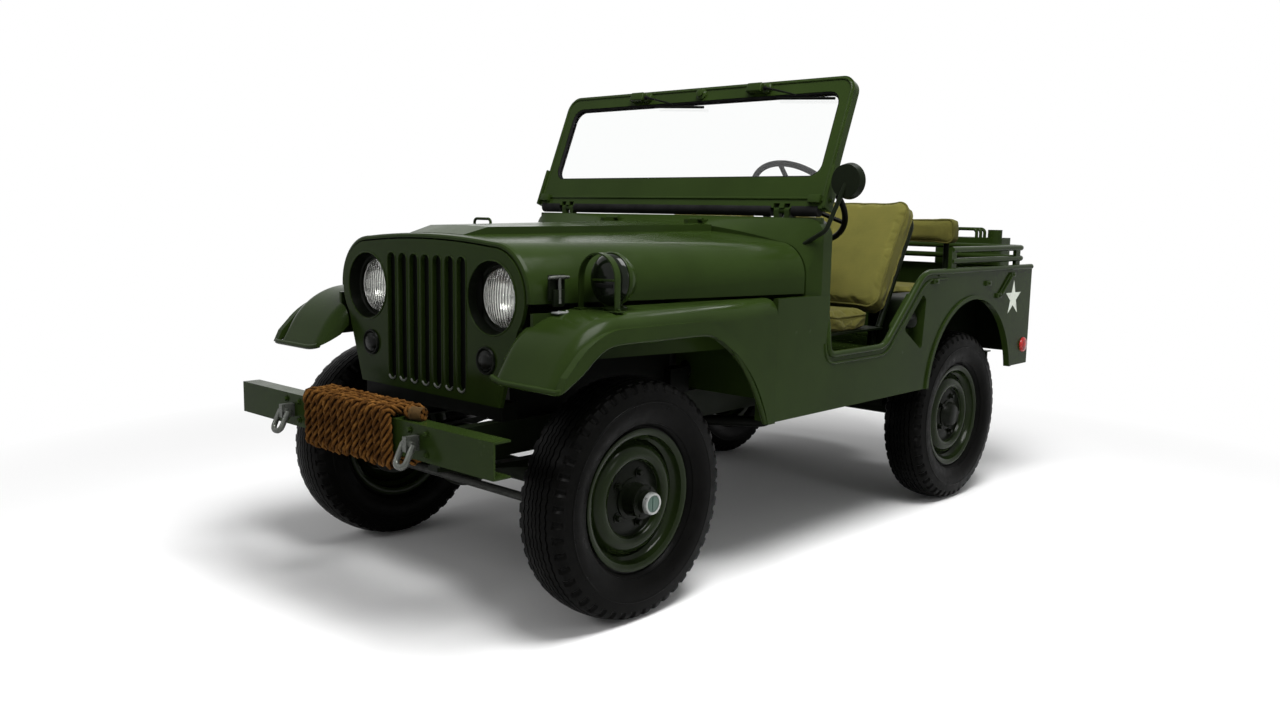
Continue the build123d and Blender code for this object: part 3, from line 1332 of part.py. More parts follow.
# Tub: sides, floor, wheel houses and rear panel
with BuildPart() as tub_side:
    with BuildSketch(side_plane(BODY_HALF - WALL)) as side_face:
        with BuildLine():
            Polyline(
                (SEAM_Y, SHOULDER_Z),
                (DOOR_FRONT_Y, SHOULDER_Z),
                (DOOR_FRONT_Y, DOOR_SILL_Z),
                (DOOR_SILL_END_Y, DOOR_SILL_Z),
                (DOOR_RISE_Y, BODY_TOP_Z),
                (BODY_REAR_Y, BODY_TOP_Z),
                (BODY_REAR_Y, REAR_FOOT_Z),
                (REAR_Y + ARCH_END, REAR_FOOT_Z),
            )
            ThreePointArc(*ARCH_POINTS)
            Polyline((REAR_Y - ARCH_START, SILL_Z), (SEAM_Y, SILL_Z), (SEAM_Y, SHOULDER_Z))
        make_face()
        for corner_y, corner_z, corner_r in DOOR_CORNERS:
            fillet(side_face.vertices().sort_by_distance((corner_y, corner_z))[0], corner_r)
    extrude(amount=WALL)
    with BuildSketch(side_plane(BODY_HALF - 2)):
        with BuildLine():
            flare_r = ARCH_R + ARCH_FLARE_W
            flare_end = (flare_r ** 2 - (REAR_FOOT_Z - ARCH_Z) ** 2) ** 0.5
            flare_start = (flare_r ** 2 - (SILL_Z - ARCH_Z) ** 2) ** 0.5
            flare_points = (
                (REAR_Y + flare_end, REAR_FOOT_Z),
                (REAR_Y, ARCH_Z + flare_r),
                (REAR_Y - flare_start, SILL_Z),
            )
            ThreePointArc(*ARCH_POINTS)
            ThreePointArc(*flare_points)
            Line((REAR_Y + ARCH_END, REAR_FOOT_Z), (REAR_Y + flare_end, REAR_FOOT_Z))
            Line((REAR_Y - ARCH_START, SILL_Z), (REAR_Y - flare_start, SILL_Z))
        make_face()
    extrude(amount=ARCH_FLARE_OUT + 2)
    top_rail_y = (BODY_TOP_Y + BODY_REAR_Y - WALL) / 2
    with Locations((BODY_HALF - WALL, top_rail_y, BODY_TOP_Z - 8)):
        Box(2 * WALL + ARCH_RAIL_LAP, BODY_REAR_Y - WALL - BODY_TOP_Y, ARCH_RAIL_H)


def filler_face(plane, grow):
    """The fuel filler's slanted recess, drawn on the side of the tub."""
    with BuildSketch(plane) as face:
        with BuildLine():
            Polyline(*FILLER_CORNERS, close=True)
        make_face()
        fillet(face.vertices(), FILLER_R)
        if grow:
            offset(amount=grow)
    return face.sketch


with BuildPart() as body_side_left:
    add(tub_side.part)
    extrude(filler_face(side_plane(BODY_HALF - FILLER_DEPTH), FILLER_T), amount=FILLER_DEPTH - WALL)
    extrude(
        filler_face(side_plane(BODY_HALF - FILLER_DEPTH + FILLER_T), 0), amount=FILLER_DEPTH, mode=Mode.SUBTRACT
    )
pieces["body_side_left"] = body_side_left.part
with BuildPart() as body_side_right:
    mirror(tub_side.part, about=Plane.YZ)
pieces["body_side_right"] = body_side_right.part

with BuildPart() as floor:
    with BuildSketch(Plane.XY.offset(FLOOR_BOTTOM)):
        with BuildLine():
            Polyline(
                (0, FLOOR_FRONT_Y),
                (INSIDE_HALF, FLOOR_FRONT_Y),
                (INSIDE_HALF, WHEEL_HOUSE_FRONT_Y),
                (WHEEL_HOUSE_IN_X, WHEEL_HOUSE_FRONT_Y),
                (WHEEL_HOUSE_IN_X, REAR_PANEL_Y),
                (0, REAR_PANEL_Y),
                close=True,
            )
        make_face()
        mirror(about=Plane.YZ)
        with Locations((TUNNEL_X, (FLOOR_FRONT_Y + TUNNEL_END_Y) / 2)):
            Rectangle(2 * TUNNEL_HALF, TUNNEL_END_Y - FLOOR_FRONT_Y, mode=Mode.SUBTRACT)
    extrude(amount=FLOOR_T)
    with BuildSketch(cross_plane(FLOOR_FRONT_Y)):
        with Locations((TUNNEL_X, FLOOR_BOTTOM)):
            tunnel_h = TUNNEL_TOP - FLOOR_BOTTOM
            Trapezoid(2 * TUNNEL_HALF + 2, tunnel_h, TUNNEL_SLOPE, align=(Align.CENTER, Align.MIN))
    extrude(amount=FLOOR_FRONT_Y - TUNNEL_END_Y)
    with BuildSketch(cross_plane(FLOOR_FRONT_Y)):
        with Locations((TUNNEL_X, FLOOR_BOTTOM)):
            Trapezoid(
                2 * TUNNEL_HALF - 2 * PANEL_T,
                TUNNEL_TOP - FLOOR_BOTTOM - PANEL_T,
                TUNNEL_SLOPE,
                align=(Align.CENTER, Align.MIN),
            )
    extrude(amount=FLOOR_FRONT_Y - TUNNEL_END_Y + PANEL_T, mode=Mode.SUBTRACT)
pieces["floor"] = floor.part

with BuildPart() as wheel_houses:
    for _, side in SIDES:
        start_x = WHEEL_HOUSE_IN_X if side > 0 else -INSIDE_HALF
        with BuildSketch(side_plane(start_x)):
            with BuildLine():
                FilletPolyline(
                    (WHEEL_HOUSE_FRONT_Y, FLOOR_BOTTOM),
                    (WHEEL_HOUSE_FRONT_Y, WHEEL_HOUSE_TOP),
                    (REAR_PANEL_Y, WHEEL_HOUSE_TOP),
                    radius=HOUSE_CORNER_R,
                )
                Polyline(
                    (REAR_PANEL_Y, WHEEL_HOUSE_TOP),
                    (REAR_PANEL_Y, FLOOR_BOTTOM),
                    (WHEEL_HOUSE_FRONT_Y, FLOOR_BOTTOM),
                )
            make_face()
        extrude(amount=INSIDE_HALF - WHEEL_HOUSE_IN_X)
        with BuildSketch(side_plane(start_x + PANEL_T if side > 0 else start_x)):
            with BuildLine():
                FilletPolyline(
                    (WHEEL_HOUSE_FRONT_Y + PANEL_T, FLOOR_BOTTOM),
                    (WHEEL_HOUSE_FRONT_Y + PANEL_T, WHEEL_HOUSE_TOP - PANEL_T),
                    (REAR_PANEL_Y - PANEL_T, WHEEL_HOUSE_TOP - PANEL_T),
                    radius=HOUSE_CORNER_R - PANEL_T,
                )
                Polyline(
                    (REAR_PANEL_Y - PANEL_T, WHEEL_HOUSE_TOP - PANEL_T),
                    (REAR_PANEL_Y - PANEL_T, FLOOR_BOTTOM),
                    (WHEEL_HOUSE_FRONT_Y + PANEL_T, FLOOR_BOTTOM),
                )
            make_face()
        extrude(amount=INSIDE_HALF - WHEEL_HOUSE_IN_X - PANEL_T, mode=Mode.SUBTRACT)
pieces["wheel_houses"] = wheel_houses.part

with BuildPart() as rear_panel:
    with BuildSketch(cross_plane(BODY_REAR_Y)):
        with Locations((0, (FLOOR_BOTTOM + BODY_TOP_Z) / 2)):
            Rectangle(2 * INSIDE_HALF, BODY_TOP_Z - FLOOR_BOTTOM)
    extrude(amount=WALL)
pieces["rear_panel"] = rear_panel.part

# Windshield
with BuildPart() as windshield_frame:
    with BuildSketch(WS_PLANE):
        with Locations((0, (WS_FOOT + WS_LENGTH) / 2)):
            RectangleRounded(2 * WS_HALF, WS_LENGTH - WS_FOOT, WS_CORNER_R)
        with Locations((0, (WS_FOOT + WS_LENGTH) / 4)):
            Rectangle(2 * WS_HALF, (WS_LENGTH - WS_FOOT) / 2)
        with Locations((0, GLASS_MID)):
            RectangleRounded(2 * GLASS_HALF, GLASS_TOP - GLASS_BOTTOM, GLASS_CORNER_R, mode=Mode.SUBTRACT)
    extrude(amount=WS_DEPTH / 2, both=True)
    for _, side in SIDES:
        for end in (-1, 1):
            with Locations((side * WS_HINGE_X + end * (2 * WS_HINGE_R + 1), WS_HINGE_Y, WS_HINGE_Z)):
                Cylinder(WS_NOTCH_R, 2 * WS_HINGE_R + 4, rotation=(0, 90, 0), mode=Mode.SUBTRACT)
        with Locations((side * WS_HINGE_X, WS_HINGE_Y, WS_HINGE_Z)):
            Cylinder(WS_HINGE_R, 2 * WS_HINGE_R, rotation=(0, 90, 0))
            Cylinder(WS_HINGE_R / 2 + CLEAR, 6 * WS_HINGE_R, rotation=(0, 90, 0), mode=Mode.SUBTRACT)
pieces["windshield_frame"] = windshield_frame.part

with BuildPart() as windshield_glass:
    with BuildSketch(WS_PLANE):
        with Locations((0, GLASS_MID)):
            RectangleRounded(2 * GLASS_HALF, GLASS_TOP - GLASS_BOTTOM, GLASS_CORNER_R)
    extrude(amount=GLASS_T / 2, both=True)
pieces["windshield_glass"] = windshield_glass.part

# Steering wheel and column
wheel_axis = Axis(STEER_CENTRE, COLUMN_DIR)
with BuildPart() as steering_wheel:
    with BuildSketch(Plane(origin=STEER_CENTRE, x_dir=(1, 0, 0), z_dir=COLUMN_DIR.cross(Vector(1, 0, 0)))):
        with Locations((STEER_R - STEER_RIM_R, 0)):
            Circle(STEER_RIM_R)
    revolve(axis=wheel_axis)
    with BuildSketch(COLUMN_PLANE.offset(-SPOKE_T / 2)):
        with PolarLocations(0, 3, start_angle=90):
            Rectangle(STEER_R - STEER_RIM_R, SPOKE_W, align=(Align.MIN, Align.CENTER))
    extrude(amount=SPOKE_T)
    with BuildSketch(COLUMN_PLANE.offset(-HUB_HALF)):
        Circle(STEER_HUB_R)
    extrude(amount=2 * HUB_HALF)
    with BuildSketch(COLUMN_PLANE.offset(HUB_HALF)):
        Circle(SHAFT_R + CLEAR)
    extrude(amount=-HUB_HALF - 6, mode=Mode.SUBTRACT)
pieces["steering_wheel"] = steering_wheel.part

with BuildPart() as steering_column:
    with BuildSketch(COLUMN_PLANE.offset(HUB_HALF + 5)):
        Circle(COLUMN_R)
    extrude(amount=COLUMN_LENGTH - HUB_HALF - 5 - COLUMN_SHORT)
    with BuildSketch(COLUMN_PLANE):
        Circle(SHAFT_R)
    extrude(amount=HUB_HALF + 10)
    with Locations((STEER_X, STEER_BOX_Y, RAIL_TOP + STEER_BOX[2] / 2)):
        Box(*STEER_BOX)
pieces["steering_column"] = steering_column.part

# Seats: frames of tube and pan, with plain cushions on them


def back_plane(x, y, z, lean):
    """A seat back's plane, leaning rearward, with local Y up along the back."""
    return Plane(origin=(x, y, z), x_dir=(1, 0, 0), z_dir=(0, -cos(radians(lean)), sin(radians(lean))))


with BuildPart() as seat_frames:
    for _, seat_x, half in SEAT_ROWS:
        pan_y = (SEAT_FRONT_Y + SEAT_BACK_Y) / 2
        with Locations((seat_x, pan_y, SEAT_PAN_Z - PAN_T / 2)):
            Box(2 * half - PAN_INSET, SEAT_BACK_Y - SEAT_FRONT_Y, PAN_T)
            with GridLocations(2 * half - LEG_INSET, SEAT_BACK_Y - SEAT_FRONT_Y - LEG_SETBACK, 2, 2):
                Cylinder(LEG_R, SEAT_PAN_Z - PAN_T / 2 - FLOOR_TOP, align=HANGS)
        lean = back_plane(seat_x, SEAT_BACK_Y, SEAT_PAN_Z - PAN_T / 2, BACK_LEAN)
        hoop_half = half - PAN_INSET - SEAT_TUBE_R
        with BuildLine(lean) as hoop:
            FilletPolyline(
                (-hoop_half, 0),
                (-hoop_half, BACK_RISE),
                (hoop_half, BACK_RISE),
                (hoop_half, 0),
                radius=HOOP_R,
            )
        with BuildSketch(Plane(origin=hoop.line @ 0, z_dir=hoop.line % 0)):
            Circle(SEAT_TUBE_R)
        sweep(path=hoop.line)
    bench_y = (REAR_SEAT_FRONT_Y + REAR_SEAT_BACK_Y) / 2
    with Locations((0, bench_y, REAR_SEAT_Z - PAN_T / 2)):
        Box(2 * REAR_SEAT_HALF, REAR_SEAT_BACK_Y - REAR_SEAT_FRONT_Y, PAN_T)
        with GridLocations(2 * REAR_SEAT_HALF - LEG_INSET, REAR_SEAT_DEPTH - LEG_SETBACK, 2, 2):
            Cylinder(LEG_R, REAR_SEAT_Z - PAN_T / 2 - FLOOR_TOP, align=HANGS)
    for _, side in SIDES:
        post_x = side * (REAR_SEAT_HALF - REAR_POST_INSET)
        with Locations((post_x, REAR_SEAT_BACK_Y + SEAT_TUBE_R, REAR_SEAT_Z - PAN_T)):
            Cylinder(SEAT_TUBE_R, REAR_BACK_TOP - REAR_POST_DROP - REAR_SEAT_Z, align=STANDS)
        with Locations((post_x, REAR_SEAT_BACK_Y, REAR_SEAT_Z - PAN_T / 2)):
            Box(2 * SEAT_TUBE_R, 2 * SEAT_TUBE_R, PAN_T)
pieces["seat_frames"] = seat_frames.part

with BuildPart() as front_seat_cushions:
    for _, seat_x, half in SEAT_ROWS:
        with BuildSketch(Plane.XY.offset(SEAT_PAN_Z + CLEAR)):
            with Locations((seat_x, (SEAT_FRONT_Y + CUSHION_REAR_Y) / 2)):
                RectangleRounded(2 * half, CUSHION_REAR_Y - SEAT_FRONT_Y, CUSHION_CORNER_R)
        extrude(amount=CUSHION_H)
    fillet(front_seat_cushions.faces().group_by(Axis.Z)[-1].edges(), CUSHION_EDGE_R)
pieces["front_seat_cushions"] = front_seat_cushions.part

with BuildPart() as front_seat_backs:
    for _, seat_x, half in SEAT_ROWS:
        face = back_plane(seat_x, SEAT_BACK_Y, SEAT_PAN_Z - PAN_T / 2, BACK_LEAN).offset(SEAT_TUBE_R + CLEAR)
        with BuildSketch(face):
            with Locations((0, BACK_START + BACK_H / 2)):
                RectangleRounded(2 * half, BACK_H, BACK_CORNER_R)
        extrude(amount=BACK_T)
    fillet(front_seat_backs.faces().group_by(Axis((0, 0, 0), face.z_dir))[-1].edges(), CUSHION_EDGE_R)
pieces["front_seat_backs"] = front_seat_backs.part

with BuildPart() as rear_seat_cushion:
    with BuildSketch(Plane.XY.offset(REAR_SEAT_Z + CLEAR)):
        with Locations((0, bench_y - REAR_CUSHION_GAP / 2)):
            RectangleRounded(2 * REAR_SEAT_HALF, REAR_SEAT_DEPTH - REAR_CUSHION_GAP, CUSHION_CORNER_R)
    extrude(amount=REAR_CUSHION_H)
    fillet(rear_seat_cushion.faces().sort_by(Axis.Z)[-1].edges(), CUSHION_EDGE_R)
pieces["rear_seat_cushion"] = rear_seat_cushion.part

with BuildPart() as rear_seat_back:
    with BuildSketch(cross_plane(REAR_SEAT_BACK_Y - CLEAR)):
        with Locations((0, (REAR_BACK_BOTTOM + REAR_BACK_TOP) / 2)):
            back_half = REAR_SEAT_HALF + REAR_BACK_SPREAD / 2
            RectangleRounded(2 * back_half, REAR_BACK_TOP - REAR_BACK_BOTTOM, REAR_BACK_R)
    extrude(amount=REAR_BACK_T)
    fillet(rear_seat_back.faces().sort_by(Axis.Y)[0].edges(), CUSHION_EDGE_R)
pieces["rear_seat_back"] = rear_seat_back.part

# Folded top bows on their brackets
with BuildPart() as top_bows:
    for level in BOW_LEVELS:
        with BuildLine(Plane.XY.offset(level)) as bow_line:
            FilletPolyline(
                (BOW_X, BOW_FRONT_Y),
                (BOW_X, BOW_REAR_Y),
                (-BOW_X, BOW_REAR_Y),
                (-BOW_X, BOW_FRONT_Y),
                radius=BOW_CORNER_R,
            )
        with BuildSketch(Plane(origin=bow_line.line @ 0, z_dir=bow_line.line % 0)):
            Circle(BOW_R)
        sweep(path=bow_line.line)
    for _, side in SIDES:
        for post_y in BOW_POST_YS:
            with Locations((side * BOW_X, post_y, (BODY_TOP_Z + BOW_LEVELS[1]) / 2)):
                Box(BOW_POST_W, BOW_POST_L, BOW_LEVELS[1] - BODY_TOP_Z)
pieces["top_bows"] = top_bows.part

# Mirror on its arm
with BuildPart() as mirror_and_arm:
    with BuildLine() as arm_line:
        FilletPolyline(MIRROR_FOOT, MIRROR_ELBOW, MIRROR_POINT, radius=MIRROR_BEND_R)
    with BuildSketch(Plane(origin=arm_line.line @ 0, z_dir=arm_line.line % 0)):
        Circle(ARM_R)
    sweep(path=arm_line.line)
    with BuildSketch(cross_plane(MIRROR_POINT[1] + MIRROR_T)):
        with Locations((MIRROR_POINT[0], MIRROR_POINT[2])):
            Circle(MIRROR_R)
    extrude(amount=MIRROR_T + MIRROR_SHELL, taper=MIRROR_TAPER)
    add(cowl.part, mode=Mode.SUBTRACT)
pieces["mirror"] = mirror_and_arm.part.solids().sort_by(SortBy.VOLUME)[-1]

# Rear: fuel can on its carrier, spare wheel, lamps, bumperettes and pintle hook
with BuildPart() as fuel_can:
    with BuildSketch(Plane.XY.offset(CAN_BOTTOM)):
        with Locations((CAN_X, CAN_Y)):
            RectangleRounded(CAN_W, CAN_D, CAN_CORNER_R)
    extrude(amount=CAN_TOP - CAN_BOTTOM)
    for shift in (-1, 0, 1):
        grip_y = CAN_Y + shift * CAN_GRIP_PITCH
        with BuildLine() as handle:
            FilletPolyline(
                (CAN_X - CAN_GRIP_LEFT, grip_y, CAN_TOP - CAN_GRIP_SINK),
                (CAN_X - CAN_GRIP_LEFT, grip_y, CAN_TOP + CAN_HANDLE_H),
                (CAN_X + CAN_GRIP_RIGHT, grip_y, CAN_TOP + CAN_HANDLE_H),
                (CAN_X + CAN_GRIP_RIGHT, grip_y, CAN_TOP - CAN_GRIP_SINK),
                radius=CAN_GRIP_R,
            )
        with BuildSketch(Plane(origin=handle.line @ 0, z_dir=handle.line % 0)):
            Circle(8)
        sweep(path=handle.line)
    with Locations((CAN_X + SPOUT_X, CAN_Y, CAN_TOP + SPOUT_RISE)):
        Cylinder(SPOUT_R, SPOUT_H)
pieces["fuel_can"] = fuel_can.part

spare_plane = Plane(origin=(SPARE_X, SPARE_Y, SPARE_Z), x_dir=(0, 1, 0), z_dir=(1, 0, 0))
spare_axis = Axis((SPARE_X, SPARE_Y, SPARE_Z), (0, 1, 0))
with BuildPart() as spare_wheel:
    revolve(rim_section(spare_plane), axis=spare_axis)
    with BuildSketch(cross_plane(SPARE_Y + DISC_U - DISC_T)):
        with Locations((SPARE_X, SPARE_Z)):
            Circle(LUG_CIRCLE_R + 20)
    extrude(amount=-DISC_T)
pieces["spare_wheel"] = spare_wheel.part
pieces["spare_tyre"] = build_tyre(spare_plane, spare_axis)
with BuildPart() as rear_carriers:
    with Locations((CAN_X, BODY_REAR_Y + CARRIER_T / 2, CAN_BOTTOM + CARRIER_UP)):
        Box(CAN_W + CARRIER_LAP, CARRIER_T, CARRIER_H)
    with Locations((CAN_X, CAN_Y, CAN_BOTTOM - CARRIER_T / 2 - CLEAR)):
        Box(CAN_W + CARRIER_LAP, CAN_D + 2 * CARRIER_T + 2 * CLEAR, CARRIER_T)
    with Locations((CAN_X, CAN_Y + CAN_D / 2 + CARRIER_T / 2 + CLEAR, CAN_BOTTOM + CARRIER_LIP_UP)):
        Box(CAN_W + CARRIER_LAP, CARRIER_T, CARRIER_LIP)
    post_reach = SPARE_Y + DISC_U - DISC_T - BODY_REAR_Y
    for reach, radius in ((SPARE_BOSS_T, SPARE_BOSS_R), (post_reach, SPARE_POST_R)):
        with BuildSketch(cross_plane(BODY_REAR_Y)):
            with Locations((SPARE_X, SPARE_Z)):
                Circle(radius)
        extrude(amount=-reach)
pieces["rear_carriers"] = rear_carriers.part

with BuildPart() as tail_lamps:
    for _, side in SIDES:
        with BuildSketch(cross_plane(BODY_REAR_Y)):
            with Locations((side * TAIL_X, TAIL_Z)):
                Circle(TAIL_R)
        extrude(amount=-TAIL_OUT, taper=TAIL_TAPER)
pieces["tail_lamps"] = tail_lamps.part

with BuildPart() as rear_bumperettes:
    for _, side in SIDES:
        with BuildSketch(cross_plane(FRAME_REAR_Y)):
            with Locations((side * BUMPERETTE_X, (RAIL_BOTTOM + RAIL_TOP) / 2)):
                Rectangle(2 * BUMPERETTE_HALF, RAIL_TOP - RAIL_BOTTOM)
        extrude(amount=BUMPERETTE_D)
        with BuildSketch(cross_plane(FRAME_REAR_Y)):
            with Locations((side * BUMPERETTE_X, (RAIL_BOTTOM + RAIL_TOP) / 2)):
                Rectangle(2 * BUMPERETTE_HALF, RAIL_TOP - RAIL_BOTTOM - 2 * BUMPER_T)
        extrude(amount=BUMPERETTE_D - BUMPER_T, mode=Mode.SUBTRACT)
pieces["rear_bumperettes"] = rear_bumperettes.part

with BuildPart() as pintle_hook:
    with BuildSketch(cross_plane(FRAME_REAR_Y)):
        with Locations((0, PINTLE_Z)):
            Rectangle(HOOK_PLATE_W, HOOK_PLATE_H)
    extrude(amount=-HOOK_PLATE_T)
    with BuildSketch(side_plane(-HOOK_W / 2)):
        with Locations((FRAME_REAR_Y + PINTLE_LENGTH - HOOK_BACK, PINTLE_Z)):
            Circle(HOOK_R)
        with Locations((FRAME_REAR_Y + (PINTLE_LENGTH - HOOK_BACK) / 2, PINTLE_Z)):
            Rectangle(PINTLE_LENGTH - HOOK_BACK, HOOK_NECK)
        with Locations((FRAME_REAR_Y + PINTLE_LENGTH - HOOK_BACK, PINTLE_Z)):
            Circle(HOOK_HOLE_R, mode=Mode.SUBTRACT)
    extrude(amount=HOOK_W)
pieces["pintle_hook"] = pintle_hook.part

# Engine, gearbox, shafts and exhaust
with BuildPart() as engine:
    engine_y = FRONT_Y + (ENGINE_FRONT + ENGINE_REAR) / 2
    with Locations((ENGINE_X, engine_y, (SUMP_Z + ENGINE_TOP) / 2)):
        Box(2 * ENGINE_HALF, ENGINE_REAR - ENGINE_FRONT, ENGINE_TOP - SUMP_Z)
    chamfer(engine.edges().filter_by(Axis.Y), ENGINE_CHAMFER)
    with BuildSketch(cross_plane(FRONT_Y + ENGINE_FRONT)):
        with Locations((0, FAN_Z)):
            with PolarLocations(0, 4, start_angle=45):
                Rectangle(FAN_BLADE_L, FAN_BLADE_W, align=(Align.MIN, Align.CENTER))
    extrude(amount=FAN_T)
    with BuildSketch(cross_plane(FRONT_Y + ENGINE_FRONT)):
        with Locations((0, FAN_Z)):
            Circle(FAN_HUB_R)
    extrude(amount=-FAN_HUB_T)
pieces["engine"] = engine.part

with BuildPart() as gearbox:
    box_y = FRONT_Y + (ENGINE_REAR + TRANSFER_REAR) / 2
    with Locations((GEARBOX_X, box_y, (SUMP_Z + GEARBOX_TOP) / 2)):
        Box(2 * GEARBOX_HALF, TRANSFER_REAR - ENGINE_REAR, GEARBOX_TOP - SUMP_Z)
    transfer_y = FRONT_Y + (TRANSFER_FRONT + TRANSFER_REAR) / 2
    with Locations((DIFF_X + TRANSFER_SHIFT, transfer_y, TRANSFER_Z)):
        Box(TRANSFER_W, TRANSFER_REAR - TRANSFER_FRONT, TRANSFER_H)
    fillet(gearbox.edges().filter_by(Axis.Y).group_by(Axis.Z)[-1], GEARBOX_EDGE_R)
pieces["gearbox"] = gearbox.part

pinion_reach = DIFF_R * 0.8 + PINION_NOSE
PROPS = (
    # start y and height, end y and height
    (FRONT_Y + pinion_reach, AXLE_Z, FRONT_Y + TRANSFER_FRONT, SHAFT_HIGH),
    (FRONT_Y + TRANSFER_REAR, SHAFT_HIGH, REAR_Y - pinion_reach, AXLE_Z),
)


def round_face(y, x, z, radius):
    """A round face across the car."""
    with BuildSketch(cross_plane(y)) as face:
        with Locations((x, z)):
            Circle(radius)
    return face.sketch


prop_ends = [
    (round_face(y1, DIFF_X, z1, PROP_R), round_face(y2, DIFF_X, z2, PROP_R)) for y1, z1, y2, z2 in PROPS
]
with BuildPart() as propeller_shafts:
    for first, last in prop_ends:
        loft([first, last])
pieces["propeller_shafts"] = propeller_shafts.part

with BuildPart() as exhaust:
    with BuildLine() as pipe:
        FilletPolyline(
            (ENGINE_X + ENGINE_HALF, FRONT_Y + PIPE_START, PIPE_HIGH),
            (PIPE_X, FRONT_Y + PIPE_START, PIPE_HIGH),
            (PIPE_X, FRONT_Y + PIPE_DOWN, PIPE_LOW),
            (MUFFLER_X, FRONT_Y + PIPE_TURN, PIPE_LOW),
            (MUFFLER_X, FRONT_Y + MUFFLER_FRONT + PIPE_LAP, MUFFLER_Z),
            radius=PIPE_BEND_R,
        )
    with BuildSketch(Plane(origin=pipe.line @ 0, z_dir=pipe.line % 0)):
        Circle(PIPE_R)
    sweep(path=pipe.line)
    with BuildSketch(cross_plane(FRONT_Y + MUFFLER_FRONT)):
        with Locations((MUFFLER_X, MUFFLER_Z)):
            Circle(MUFFLER_R)
    extrude(amount=MUFFLER_FRONT - MUFFLER_REAR)
    for hang in (MUFFLER_FRONT + HANGER_INSET, MUFFLER_REAR - HANGER_INSET):
        with Locations((MUFFLER_X, FRONT_Y + hang, FLOOR_BOTTOM - HANGER_DROP)):
            Box(HANGER_W, HANGER_L, 2 * HANGER_DROP)
pieces["exhaust"] = exhaust.part

# Gear and transfer levers on the tunnel
with BuildPart() as levers:
    for behind, shift, height in LEVERS:
        with BuildLine() as lever:
            Line(
                (TUNNEL_X + shift, FRONT_Y + behind, TUNNEL_TOP),
                (TUNNEL_X + shift, FRONT_Y + behind + LEVER_LEAN, TUNNEL_TOP + height),
            )
        with BuildSketch(Plane.XY.offset(TUNNEL_TOP)):
            with Locations((TUNNEL_X + shift, FRONT_Y + behind)):
                Circle(7)
        sweep(path=lever.line)
        with Locations((TUNNEL_X + shift, FRONT_Y + behind + LEVER_LEAN, TUNNEL_TOP + height)):
            Sphere(LEVER_KNOB_R)
pieces["levers"] = levers.part

os.makedirs("parts", exist_ok=True)
for name, piece in pieces.items():
    piece.label = name
    export_step(piece, f"parts/{name}.step")
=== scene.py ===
"""Dresses the open army 4x4 car: camera, rope, tyres, seats, lamps, trim, materials and studio."""

import math
import random

import bmesh
import bpy
from mathutils import Matrix, Vector
from mathutils.bvhtree import BVHTree


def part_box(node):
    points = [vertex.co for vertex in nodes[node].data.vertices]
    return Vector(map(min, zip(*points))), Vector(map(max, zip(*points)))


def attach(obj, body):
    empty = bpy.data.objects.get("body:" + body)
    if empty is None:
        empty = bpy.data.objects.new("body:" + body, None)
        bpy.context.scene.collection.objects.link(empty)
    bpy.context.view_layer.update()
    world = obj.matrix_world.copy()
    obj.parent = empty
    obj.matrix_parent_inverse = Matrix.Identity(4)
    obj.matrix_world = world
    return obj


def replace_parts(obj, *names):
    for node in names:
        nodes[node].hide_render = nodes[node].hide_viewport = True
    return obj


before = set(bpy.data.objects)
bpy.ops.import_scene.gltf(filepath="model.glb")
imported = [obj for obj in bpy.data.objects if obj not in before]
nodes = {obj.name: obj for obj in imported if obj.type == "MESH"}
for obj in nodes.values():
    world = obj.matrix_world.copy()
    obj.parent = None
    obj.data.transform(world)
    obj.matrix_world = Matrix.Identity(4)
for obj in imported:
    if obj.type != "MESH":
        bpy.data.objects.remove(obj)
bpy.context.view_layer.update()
scene = bpy.context.scene
scene.view_settings.view_transform = "Standard"
draw = random.Random(4)
TAU = 2 * math.pi
QUARTER = TAU / 4
X_AXIS = Vector((1, 0, 0))
Y_AXIS = Vector((0, 1, 0))
Z_AXIS = Vector((0, 0, 1))
FORWARD = Vector((0, -1, 0))
DOWN = Vector((0, 0, -1))
SIDES = (("left", 1), ("right", -1))

# Camera at the photograph's place
CAMERA_AT = Vector((2.8218, -3.3555, 1.2431))
CAMERA_YAW = math.radians(42.652)
CAMERA_PITCH = math.radians(7.891)
CAMERA_ROLL = math.radians(1.028)
CAMERA_LENS = 29.99


def place_camera():
    """The camera, turned by yaw, pitch and roll from a level look along +Y."""
    look = Vector(
        (
            -math.sin(CAMERA_YAW) * math.cos(CAMERA_PITCH),
            math.cos(CAMERA_YAW) * math.cos(CAMERA_PITCH),
            -math.sin(CAMERA_PITCH),
        )
    )
    level = Vector((math.cos(CAMERA_YAW), math.sin(CAMERA_YAW), 0))
    up = level.cross(look)
    right = math.cos(CAMERA_ROLL) * level + math.sin(CAMERA_ROLL) * up
    head = math.cos(CAMERA_ROLL) * up - math.sin(CAMERA_ROLL) * level
    data = bpy.data.cameras.new("camera")
    data.lens = CAMERA_LENS
    camera = bpy.data.objects.new("camera", data)
    scene.collection.objects.link(camera)
    turn = Matrix((right, head, -look)).transposed().to_4x4()
    camera.matrix_world = Matrix.Translation(CAMERA_AT) @ turn
    scene.camera = camera


place_camera()


